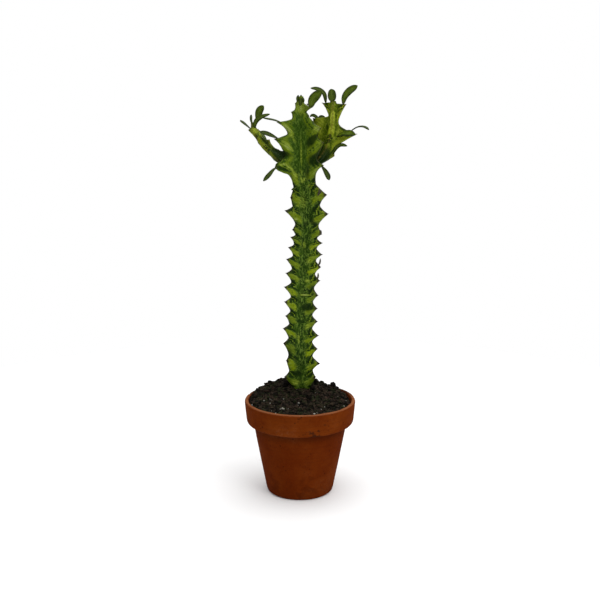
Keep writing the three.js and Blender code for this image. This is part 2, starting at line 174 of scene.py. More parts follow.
def paintSpots(piece, name, spots):
    # soft spots on the side that faces the viewer: x, z, half width, half height in mm, tilt, amount
    points, normals = pointsOf(piece) / mm, normalsOf(piece)
    shade = np.zeros(len(points))
    for x, z, wide, tall, tilt, amount in spots:
        turn = math.radians(tilt)
        across = (points[:, 0] - x) * math.cos(turn) + (points[:, 2] - z) * math.sin(turn)
        upward = (points[:, 2] - z) * math.cos(turn) - (points[:, 0] - x) * math.sin(turn)
        shade += amount * np.exp(-(across / wide) ** 2 - (upward / tall) ** 2)
    paint(piece, name, shade * smooth(0.3, -0.25, normals[:, 1]))


def wobble(points, size, seed, octaves=2):
    # soft noise at every point, features about size metres across
    offset = Vector((seed * 3.1, seed * 1.7, seed * 5.3))
    return np.array([noise.fractal(Vector(p) / size + offset, 0.6, 2.1, octaves) for p in points])


# material helpers: colours are given as the sRGB numbers a colour picker shows

def tint(red, green, blue):
    def straight(level):
        level /= 255
        return level / 12.92 if level <= 0.04045 else ((level + 0.055) / 1.055) ** 2.4
    return (straight(red), straight(green), straight(blue), 1)


def startMaterial(name, roughness, specular):
    look = bpy.data.materials.new(name)
    look.use_nodes = True
    shader = look.node_tree.nodes["Principled BSDF"]
    shader.inputs["Roughness"].default_value = roughness
    shader.inputs["Specular IOR Level"].default_value = specular
    return look, look.node_tree, shader


def addNode(tree, kind, inputs=None, **settings):
    node = tree.nodes.new("ShaderNode" + kind)
    for key, value in settings.items():
        setattr(node, key, value)
    for key, value in (inputs or {}).items():
        socket = node.inputs[key]
        if isinstance(value, bpy.types.NodeSocket):
            tree.links.new(value, socket)
        else:
            socket.default_value = value
    return node


def readAttribute(tree, name):
    return addNode(tree, "Attribute", attribute_name=name).outputs["Fac"]


def maths(tree, operation, first, second=0.0, third=0.0):
    inputs = {0: first, 1: second, 2: third}
    return addNode(tree, "Math", inputs, operation=operation).outputs[0]


def times(tree, first, second):
    return maths(tree, "MULTIPLY", first, second)


def fit(tree, value, low, high, toLow=0.0, toHigh=1.0):
    # low to high become toLow to toHigh, eased at both ends
    inputs = {0: value, 1: low, 2: high, 3: toLow, 4: toHigh}
    return addNode(tree, "MapRange", inputs, interpolation_type="SMOOTHSTEP").outputs[0]


def blend(tree, share, first, second):
    inputs = {0: share, 6: first, 7: second}
    return addNode(tree, "Mix", inputs, data_type="RGBA").outputs[2]


def grain(tree, vector, scale, detail=2.0, roughness=0.5, distortion=0.0):
    inputs = {"Vector": vector, "Scale": scale, "Detail": detail, "Roughness": roughness}
    inputs["Distortion"] = distortion
    return addNode(tree, "TexNoise", inputs).outputs["Fac"]


def stretch(tree, vector, x, y, z):
    return addNode(tree, "Mapping", {"Vector": vector, "Scale": (x, y, z)}).outputs[0]


def objectPlace(tree):
    return addNode(tree, "TexCoord").outputs["Object"]


def addBump(tree, shader, height, strength, distance):
    inputs = {"Height": height, "Strength": strength, "Distance": distance}
    bump = addNode(tree, "Bump", inputs)
    tree.links.new(bump.outputs[0], shader.inputs["Normal"])


# camera, floor and light

camera = {
    "place": (0.0, -0.620256, 0.265877),
    "tiltDown": 10.68,    # degrees
    "lens": 50.57,
    "sensor": 36,
}
studio = {
    "floorRadius": 0.5,
    "floorTone": 0.96,
    "lampAim": (0, 0, 0.15),
    "worldSeen": 1.0,     # the white that the camera sees behind the plant
    "worldLight": 0.32,   # the softer white that lights it
    "top": {"place": (0.1, 0.05, 1.3), "size": 2.4, "power": 30.0},
    "key": {"place": (0.8, -0.95, 0.75), "size": 0.7, "power": 5.0},
}

pickOnly()
lookDown = (math.radians(90 - camera["tiltDown"]), 0, 0)
bpy.ops.object.camera_add(location=camera["place"], rotation=lookDown)
eye = nameIt(bpy.context.active_object, "photoCamera")
eye.data.lens = camera["lens"]
eye.data.sensor_width = camera["sensor"]
eye.data.clip_start = 0.01
bpy.context.scene.camera = eye

world = bpy.data.worlds.new("studioWhite")
bpy.context.scene.world = world
world.use_nodes = True
skyLight = world.node_tree.nodes["Background"]
skyLight.inputs["Color"].default_value = (1, 1, 1, 1)
seen = world.node_tree.nodes.new("ShaderNodeLightPath")
level = world.node_tree.nodes.new("ShaderNodeMapRange")
level.inputs["To Min"].default_value = studio["worldLight"]
level.inputs["To Max"].default_value = studio["worldSeen"]
world.node_tree.links.new(seen.outputs["Is Camera Ray"], level.inputs["Value"])
world.node_tree.links.new(level.outputs["Result"], skyLight.inputs["Strength"])
bpy.context.scene.view_settings.view_transform = "Standard"

for lampName in ("top", "key"):
    lamp = studio[lampName]
    pickOnly()
    bpy.ops.object.light_add(type="AREA", location=lamp["place"])
    light = bpy.context.active_object
    light.name = lampName + "Light"
    light.data.energy = lamp["power"]
    light.data.size = lamp["size"]
    aim = Vector(studio["lampAim"]) - light.location
    light.rotation_euler = aim.to_track_quat("-Z", "Y").to_euler()

pickOnly()
bpy.ops.mesh.primitive_circle_add(vertices=96, radius=studio["floorRadius"], fill_type="NGON")
floor = nameIt(bpy.context.active_object, "studioFloor")
look, tree, shader = startMaterial("floorWhite", 0.9, 0.1)
floorGrain = grain(tree, objectPlace(tree), 3.0)
darkFloor, paleFloor = ((tone, tone, tone, 1) for tone in (studio["floorTone"], studio["floorTone"] + 0.02))
floorColour = blend(tree, floorGrain, darkFloor, paleFloor)
tree.links.new(floorColour, shader.inputs["Base Color"])
floor.data.materials.append(look)
print("camera, floor and light are up")


# clay pot: a ring is extruded through the stations of the section and closed on itself

clayPot = {
    "sides": 128,
    # radius and height of each station in mm, from the drain hole round the outside to the inside
    "stations": [
        (4.5, 0.6), (4.9, 0.1), (6, 0), (14, 0), (22.6, 0), (24.3, 0.2), (25.1, 0.7), (25.6, 1.6),
        (26.2, 4), (28.1, 14), (30.8, 28), (33.3, 41), (35, 50), (35.4, 52.6), (35.7, 53.6), (36.4, 54.1),
        (37.6, 54.3), (39.2, 54.6), (40.3, 55.2), (40.9, 56.2), (41.1, 57.6), (41.45, 61.5), (41.9, 66),
        (42.2, 69.4), (42.3, 70.9), (42.15, 71.7), (41.7, 72.15), (41, 72.35), (40.3, 72.3), (39.7, 71.9),
        (39.4, 71.2), (39.1, 69), (38.5, 64), (37.6, 58), (36.6, 55), (34.2, 52.4), (32.4, 49), (27.6, 24),
        (23.3, 8), (22, 5.9), (20, 5.1), (12, 5), (5.6, 5), (4.7, 4.7), (4.5, 4), (4.5, 2.3),
    ],
    "unevenness": 0.16,     # mm, slow waves over the whole pot
    "turningMarks": 0.035,  # mm, fine rings left by turning
    "rimDings": 0.30,       # mm, small worn spots along the lip
    "rimDips": 0.16,        # mm, shallow dips in the top of the lip
    "lip": (70.0, 71.6),    # mm, the wear of the lip sets in between these heights
    "flatFoot": 0.3,        # mm, below this the foot stays flat
    "farLipSoil": 0.8,      # soil on the far part of the lip
    # soil rubbed into the clay, and painted shade in the thin strips along the band's lower edge: x, z, half
    # width, half height, tilt, amount
    "smudgesAndShade": [
        (3.5, 58.5, 3, 1.6, 10, 0.45), (9.5, 57.5, 3.6, 2.2, -20, 0.75), (13.5, 59.8, 1.6, 1.2, 0, 0.6),
        (18, 63.5, 1.6, 2.6, 15, 0.4), (11, 55.4, 5, 0.8, 0, 0.7), (-5, 62, 2.4, 0.9, 20, 0.3),
        (0, 54.6, 22, 0.7, 0, 0.35), (22, 56.5, 3.5, 1, 0, 0.45), (-18, 57, 5, 1, 0, 0.25),
        (-15, 38, 5, 5, 0, 0.22), (-12, 20, 3, 2, 20, 0.3), (-3, 16, 2.2, 1.6, 0, 0.35),
        (4, 22, 2, 2, 0, 0.25), (9, 47, 6, 2, 0, 0.2), (-8, 10, 5, 2.5, 0, 0.25),
        (12, 30, 2.5, 1.5, 30, 0.22), (30, 66, 2.2, 2.8, 0, 0.3),
    ],
}


def makePot():
    stations = clayPot["stations"]
    pickOnly()
    radius, height = stations[0]
    bpy.ops.mesh.primitive_circle_add(vertices=clayPot["sides"], radius=radius * mm,
                                      location=(0, 0, height * mm))
    pot = nameIt(bpy.context.active_object, "clayPotBody")
    applyPlace(pot)
    editAll(pot)
    for nextRadius, nextHeight in stations[1:]:
        rise = (nextHeight - height) * mm
        bpy.ops.mesh.extrude_region_move(TRANSFORM_OT_translate={"value": (0, 0, rise)})
        bpy.ops.transform.resize(value=(nextRadius / radius, nextRadius / radius, 1))
        radius, height = nextRadius, nextHeight
    # the last ring joins the first, inside the drain hole
    bpy.ops.object.mode_set(mode="OBJECT")
    points = pointsOf(pot)
    ends = np.zeros(len(points), bool)
    for endRadius, endHeight in (stations[0], stations[-1]):
        inHole = np.hypot(points[:, 0], points[:, 1]) < (endRadius + 0.1) * mm
        ends |= inHole & (np.abs(points[:, 2] - endHeight * mm) < 1e-5)
    selectVerts(pot, ends)
    bpy.ops.mesh.bridge_edge_loops()
    bpy.ops.mesh.select_all(action="SELECT")
    bpy.ops.mesh.normals_make_consistent(inside=False)
    bpy.ops.object.mode_set(mode="OBJECT")
    applyModifier(pot, "SUBSURF", levels=1, render_levels=1)
    points = pointsOf(pot)
    fromAxis = np.maximum(np.hypot(points[:, 0], points[:, 1]), 1e-6)
    outward = points * (1, 1, 0) / fromAxis[:, None]
    high = points[:, 2] / mm
    push = clayPot["unevenness"] * wobble(points, 0.04, 1)
    push += clayPot["turningMarks"] * wobble(points * (0.12, 0.12, 1), 0.0011, 2)
    lip = smooth(*clayPot["lip"], high)
    push -= clayPot["rimDings"] * lip * smooth(0.28, 0.55, wobble(points, 0.005, 3))
    push[high < clayPot["flatFoot"]] = 0
    points += outward * (push * mm)[:, None]
    points[:, 2] -= lip * clayPot["rimDips"] * mm * smooth(0.1, 0.5, wobble(points, 0.009, 4))
    placePoints(pot, points)
    bpy.ops.object.shade_smooth()
    return pot


pot = makePot()
look, tree, shader = startMaterial("terracotta", 0.92, 0.02)
place = objectPlace(tree)
height = addNode(tree, "SeparateXYZ", {0: place}).outputs["Z"]
broad = grain(tree, place, 34, 3, 0.55)
cloud = grain(tree, place, 95, 4, 0.6, 0.4)
fine = grain(tree, place, 620, 3, 0.6)
colour = blend(tree, fit(tree, broad, 0.35, 0.68), tint(92, 34, 3), tint(108, 48, 9))
colour = blend(tree, fit(tree, cloud, 0.45, 0.8, 0, 0.5), colour, tint(76, 24, 3))
rings = grain(tree, stretch(tree, place, 14, 14, 900), 1.0, 2, 0.5)
colour = blend(tree, fit(tree, rings, 0.45, 0.75, 0, 0.25), colour, tint(72, 25, 6))
colour = blend(tree, fit(tree, fine, 0.4, 0.8, 0, 0.28), colour, tint(118, 58, 18))
# dark grit in the clay, thicker near the lower edge of the band
grit = addNode(tree, "TexVoronoi", {"Vector": place, "Scale": 330.0, "Randomness": 1.0}, feature="F1")
gritSpot = fit(tree, grit.outputs["Distance"], 0.10, 0.26, 1, 0)
gritWhere = fit(tree, grain(tree, place, 120, 2), 0.52, 0.68)
bandEdge = fit(tree, height, 0.051, 0.056)
bandTop = fit(tree, height, 0.058, 0.066, 1, 0)
gritBand = times(tree, times(tree, bandEdge, bandTop), fit(tree, cloud, 0.42, 0.6))
gritWhere = maths(tree, "MAXIMUM", gritWhere, gritBand)
colour = blend(tree, times(tree, gritSpot, gritWhere), colour, tint(40, 14, 6))
# below the band the colour turns darker and redder, and round the foot a little stained
below = fit(tree, height, 0.053, 0.047)
colour = blend(tree, times(tree, below, 0.45), colour, tint(80, 25, 2))
stain = times(tree, fit(tree, height, 0.034, 0.008), fit(tree, cloud, 0.5, 0.62, 0, 0.3))
colour = blend(tree, stain, colour, tint(58, 18, 3))
# the neck under the band is darker: painted shade under the band's overhang
neck = times(tree, fit(tree, height, 0.046, 0.0535), fit(tree, height, 0.0535, 0.0555, 1, 0))
colour = blend(tree, times(tree, neck, 0.7), colour, tint(58, 18, 4))
# a painted highlight along the top of the lip, broken up by the cloud
lipHighlight = times(tree, fit(tree, height, 0.0712, 0.0722), fit(tree, cloud, 0.25, 0.6, 0.4, 0.9))
colour = blend(tree, lipHighlight, colour, tint(132, 82, 52))
# soil rubbed into the clay and painted shade along the band's lower edge: painted spots, broken up by the
# grain
smudgeAndShade = readAttribute(tree, "smudgeAndShade")
broken = maths(tree, "MULTIPLY_ADD", maths(tree, "SUBTRACT", fine, 0.5), 1.6, smudgeAndShade)
colour = blend(tree, fit(tree, broken, 0.3, 0.8, 0, 0.85), colour, tint(44, 20, 9))
# a faint lime bloom in broad patches
bloom = times(tree, fit(tree, broad, 0.55, 0.75), fit(tree, fine, 0.4, 0.7, 0, 0.22))
colour = blend(tree, bloom, colour, tint(126, 84, 60))
tree.links.new(colour, shader.inputs["Base Color"])
clayRough = fit(tree, fine, 0.3, 0.7, 0.84, 0.95)
tree.links.new(clayRough, shader.inputs["Roughness"])
clayHeight = maths(tree, "ADD", times(tree, fine, 0.6), times(tree, rings, 0.5))
addBump(tree, shader, maths(tree, "SUBTRACT", clayHeight, times(tree, gritSpot, 0.3)), 0.45, 0.0004)
pot.data.materials.append(look)
paintSpots(pot, "smudgeAndShade", clayPot["smudgesAndShade"])
potPoints = pointsOf(pot)
farLip = smooth(0.0, 0.02, potPoints[:, 1]) * smooth(0.0695, 0.0715, potPoints[:, 2])
nearSmudgeAndShade = np.zeros(len(farLip))
pot.data.attributes["smudgeAndShade"].data.foreach_get("value", nearSmudgeAndShade)
paint(pot, "smudgeAndShade", nearSmudgeAndShade + clayPot["farLipSoil"] * farLip)
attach(pot, "root")
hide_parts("pot")
print("clay pot", len(pot.data.polygons), "faces")


# potting soil, in mm: a bed with a crumbly surface, then loose crumbs, bark, perlite and fibres on it

soilBed = {
    "level": 69.8,
    "radius": 38.3,
    "cells": 150,
    # x, y, height and spread of each heap
    "heaps": [(-2, 18, 10.9, 19.5), (-30, 12, 2, 9), (28, 18, 2, 7.5)],
    "heapsEnd": 39.2,    # distance from the axis where the heaps run out
    "wallPower": 16,     # how abruptly they do so
    "tilt": 2.2,         # rise across the pot's width, towards the back and as much towards the left
    # radius and height of the bed's hidden side, from its edge to the pot's floor
    "side": [(37.6, 62), (36.6, 57), (33.4, 52), (27, 25), (22.2, 7), (20, 5.4)],
    "stemFoot": (1, 11),
    "crumbs": 1500,
    "crumbSize": (0.45, 1.55),
    "chips": 110,
    "chipSize": (0.8, 2.2),
    "perlite": 70,
    "perliteSize": (0.22, 0.62),
    "fibres": 110,
    "fibreLength": (3.0, 9.0),
    "fibreThickness": 0.13,
    # the large clods at the back right and beside the stem: x, y, z, size
    "clods": [
        (25.8, 20, 76.6, 3), (28, 18.2, 74.4, 2.2), (12.6, 16.5, 81.4, 2), (-23.5, 22, 78.4, 1.9),
        (9.8, 4.8, 79.4, 1.7), (-10.6, 7.6, 82.6, 2.2), (-11.2, 9, 80.4, 2.6), (21, 22, 75.5, 1.8),
    ],
    # the few larger white grains that show from the front: x, y, size
    "largePerlite": [
        (-1, -15, 0.75), (-12.5, -24, 1.3), (33, -13, 0.7), (10, -4, 0.55), (-18, -29, 0.7),
        (10.5, -31, 0.8), (-27, -9, 0.7), (-20.5, -14, 0.6), (-36, -14, 0.7), (12.5, -29, 0.55),
    ],
    "seed": 4711,
}


def soilHeight(x, y):
    # the bed's level with its heaps and its tilt, before any lumps
    heap = 0
    for middleX, middleY, height, spread in soilBed["heaps"]:
        away = np.hypot(x - middleX, y - middleY)
        heap = heap + height * np.exp(-((away / spread) ** 2) / 2)
    fromWall = np.maximum(1 - (np.hypot(x, y) / soilBed["heapsEnd"]) ** soilBed["wallPower"], 0)
    return soilBed["level"] + heap * fromWall + soilBed["tilt"] * (y - x) / 85    # 85: the pot's width


def soilSurface(x, y):
    flat = np.column_stack([np.atleast_1d(x), np.atleast_1d(y), np.zeros(np.size(x))]) * mm
    lumps = 0.9 * wobble(flat, 0.0062, 11) + 0.75 * np.abs(wobble(flat, 0.0026, 12))
    lumps = lumps + 0.3 * wobble(flat, 0.0011, 13)
    return soilHeight(x, y) + lumps


def makeSoilBed():
    cells = soilBed["cells"]
    pickOnly()
    bpy.ops.mesh.primitive_grid_add(x_subdivisions=cells, y_subdivisions=cells, size=2)
    bed = nameIt(bpy.context.active_object, "pottingSoil")
    square = pointsOf(bed)
    edge = (np.abs(square[:, 0]) > 0.9999) | (np.abs(square[:, 1]) > 0.9999)
    x = square[:, 0] * np.sqrt(1 - square[:, 1] ** 2 / 2) * soilBed["radius"]
    y = square[:, 1] * np.sqrt(1 - square[:, 0] ** 2 / 2) * soilBed["radius"]
    placePoints(bed, np.column_stack([x, y, soilSurface(x, y)]) * mm)
    # the edge goes down along the inside of the pot to its floor and is filled there
    selectVerts(bed, edge)
    radius, height = soilBed["radius"], soilBed["level"]
    for nextRadius, nextHeight in soilBed["side"]:
        rise = (nextHeight - height) * mm
        bpy.ops.mesh.extrude_region_move(TRANSFORM_OT_translate={"value": (0, 0, rise)})
        bpy.ops.transform.resize(value=(nextRadius / radius, nextRadius / radius, 1))
        radius, height = nextRadius, nextHeight
    bpy.ops.mesh.edge_face_add()
    bpy.ops.mesh.select_all(action="SELECT")
    bpy.ops.mesh.normals_make_consistent(inside=False)
    bpy.ops.object.mode_set(mode="OBJECT")
    bpy.ops.object.shade_smooth()
    return bed


def scatter(count, draw, reach=37.2, keepOff=8.0):
    # random places on the bed, clear of the stem, as x, y, z in mm
    places = []
    while len(places) < count:
        angle = draw.uniform(0, math.tau)
        out = reach * math.sqrt(draw.random())
        x, y = out * math.cos(angle), out * math.sin(angle)
        if math.dist((x, y), soilBed["stemFoot"]) > keepOff:
            places.append((x, y))
    xs, ys = np.array(places).T
    return np.column_stack([xs, ys, soilSurface(xs, ys)])


def roughLump(name, detail, spike, seed):
    # one master lump: an icosphere with its corners pushed in and out
    pickOnly()
    bpy.ops.mesh.primitive_ico_sphere_add(subdivisions=detail, radius=1)
    lump = nameIt(bpy.context.active_object, name)
    points = pointsOf(lump)
    placePoints(lump, points * (1 + spike * wobble(points, 0.9, seed, 3))[:, None])
    return lump


def strew(masters, places, sizes, squash, sink, name, draw):
    # many turned and squashed copies of the masters in one mesh
    shapes = [(pointsOf(m), facesOf(m)) for m in masters]
    parts, tones = [], []
    for place, size in zip(places, sizes):
        points, faces = shapes[draw.randrange(len(shapes))]
        scale = np.array([draw.uniform(*s) for s in squash]) * size
        turn = Matrix.Rotation(draw.uniform(0, math.tau), 3, "Z")
        turn = turn @ Matrix.Rotation(draw.uniform(-0.6, 0.6), 3, "X")
        parts.append(((points * scale) @ np.array(turn).T + place + (0, 0, size * sink), faces))
        tones += [draw.random()] * len(points)
    piece = gather(parts, name)
    paint(piece, "lumpTone", tones)
    return piece


def makeFibre(name, places, draw, length, thickness):
    # thin curved threads that lie on the bed, all in one curve
    curve = bpy.data.curves.new(name, "CURVE")
    curve.dimensions = "3D"
    curve.bevel_depth = thickness * mm
    curve.bevel_resolution = 0
    curve.resolution_u = 3
    for place in places:
        heading, bend = draw.uniform(0, math.tau), draw.uniform(-0.5, 0.5)
        step = draw.uniform(*length) / 4
        spline = curve.splines.new("BEZIER")
        spline.bezier_points.add(4)
        x, y = place[0], place[1]
        for i, knot in enumerate(spline.bezier_points):
            off = min(1.0, 36.5 / max(math.hypot(x, y), 1e-3))
            x, y = x * off, y * off
            high = soilSurface(x, y)[0] + 0.35 + 0.9 * math.sin(math.pi * i / 4) * draw.random()
            knot.co = (x * mm, y * mm, high * mm)
            knot.handle_left_type = knot.handle_right_type = "AUTO"
            knot.radius = 1 - 0.6 * abs(i - 2) / 2
            x += step * math.cos(heading)
            y += step * math.sin(heading)
            heading += bend + draw.uniform(-0.3, 0.3)
    threads = bpy.data.objects.new(name, curve)
    bpy.context.scene.collection.objects.link(threads)
    pickOnly(threads)
    bpy.ops.object.convert(target="MESH")
    bpy.ops.object.shade_smooth()
    return nameIt(bpy.context.active_object, name)


def earthMaterial(name, dark, light, other, rough):
    look, tree, shader = startMaterial(name, rough, 0.08)
    place = objectPlace(tree)
    tone = readAttribute(tree, "lumpTone")
    soft = grain(tree, place, 260, 4, 0.65)
    fine = grain(tree, place, 1300, 3, 0.6)
    colour = blend(tree, fit(tree, soft, 0.4, 0.64), dark, light)
    colour = blend(tree, fit(tree, tone, 0.55, 1.0, 0, 0.75), colour, other)
    colour = blend(tree, fit(tree, fine, 0.4, 0.65, 0, 0.7), colour, dark)
    tree.links.new(colour, shader.inputs["Base Color"])
    addBump(tree, shader, fine, 0.6, 0.0004)
    return look


draw = random.Random(soilBed["seed"])
bed = makeSoilBed()
lumpMasters = [roughLump(f"lumpMaster{i}", 2, 0.55, 20 + i) for i in range(5)]
chipMasters = [roughLump(f"chipMaster{i}", 2, 0.3, 30 + i) for i in range(3)]

crumbPlaces = scatter(soilBed["crumbs"], draw)
crumbSizes = []
for place in crumbPlaces:
    size = draw.uniform(*soilBed["crumbSize"])
    crumbSizes.append(size * (1.6 if draw.random() > 0.94 else 1))    # a few are larger
crumbShape = ((0.8, 1.3), (0.7, 1.1), (0.55, 0.95))
crumbs = strew(lumpMasters, crumbPlaces, crumbSizes, crumbShape, 0.15, "soilCrumbs", draw)

clodPlaces = [clod[:3] for clod in soilBed["clods"]]
clodSizes = [clod[3] for clod in soilBed["clods"]]
clodShape = ((0.9, 1.2), (0.8, 1.1), (0.75, 0.95))
clods = strew(lumpMasters, clodPlaces, clodSizes, clodShape, 0.1, "soilClods", draw)

chipPlaces = scatter(soilBed["chips"], draw)
chipSizes = [draw.uniform(*soilBed["chipSize"]) for place in chipPlaces]
chipShape = ((0.9, 1.5), (0.35, 0.7), (0.15, 0.35))
chips = strew(chipMasters, chipPlaces, chipSizes, chipShape, 0.2, "barkChips", draw)

perlitePlaces = scatter(soilBed["perlite"], draw, 35.5)
perliteSizes = [draw.uniform(*soilBed["perliteSize"]) for place in perlitePlaces]
for x, y, size in soilBed["largePerlite"]:
    perlitePlaces = np.vstack([perlitePlaces, [x, y, soilSurface(x, y)[0] + 0.3]])
    perliteSizes.append(size)
perliteShape = ((0.8, 1.2), (0.7, 1.1), (0.7, 1.0))
perlite = strew(lumpMasters, perlitePlaces, perliteSizes, perliteShape, 0.35, "perliteGrains", draw)

fibrePlaces = scatter(soilBed["fibres"], draw, 34)
fibres = makeFibre("soilFibres", fibrePlaces, draw, soilBed["fibreLength"], soilBed["fibreThickness"])
for master in lumpMasters + chipMasters:
    bpy.data.objects.remove(master)

# every soil piece: its material's name, dark, light and odd colours, and roughness
earths = [
    (bed, "soilDark", (11, 9, 6), (44, 36, 26), (30, 32, 18), 0.95),
    (crumbs, "soilCrumb", (9, 7, 4), (58, 47, 37), (40, 47, 24), 0.95),
    (clods, "soilClod", (14, 11, 9), (34, 28, 22), (28, 24, 18), 0.95),
    (chips, "barkChip", (30, 20, 15), (60, 44, 34), (44, 30, 24), 0.85),
    (perlite, "perliteWhite", (120, 118, 110), (176, 174, 164), (130, 122, 108), 0.9),
    (fibres, "dryFibre", (58, 48, 40), (112, 98, 80), (76, 58, 48), 0.85),
]
for piece, name, dark, light, odd, rough in earths:
    piece.data.materials.append(earthMaterial(name, tint(*dark), tint(*light), tint(*odd), rough))
soilPieces = [row[0] for row in earths]
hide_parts("soil")
for piece in soilPieces:
    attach(piece, "root")
print("soil", sum(len(piece.data.polygons) for piece in soilPieces), "faces")


# the ribbed plant: a tube is cut into rings, and every ring is pressed into ribs, teeth and valleys

flesh = {
    "upSteps": 14,        # rings from a notch up to the next tooth's tip
    "downSteps": 10,      # rings from the tip down into the notch above it
    "endSteps": 12,       # rings below the first notch, and again above the last
    "shares": (2, 5, 5),  # columns from the crest to its edge, down the flank, and into the valley
    "late": 1.45,         # over one: the flesh rises late, close under the tip
    "downLate": 1.5,      # the same on the way down to the next notch
    "tipHalf": 0.42,      # mm, half a crest's width at a tooth's tip
    "notchHalf": 1.25,
    "thornGap": 0.2,      # mm that the flesh stops short of the tooth's full reach
    "crowding": 1.25,     # over one: rings crowd near the tip
    "bevel": 0.45,        # how far a crest's edge lies below it, as a share of its half width
    "flank": 0.84,        # how far out the flank's guide lies, as a share of the notch's reach
    "swell": 0.42,        # mm, the bulge under each tooth
    "lumps": (0.22, 0.08),    # mm, broad and fine
    "tipStiff": 0.85,     # how little the tips swell
}

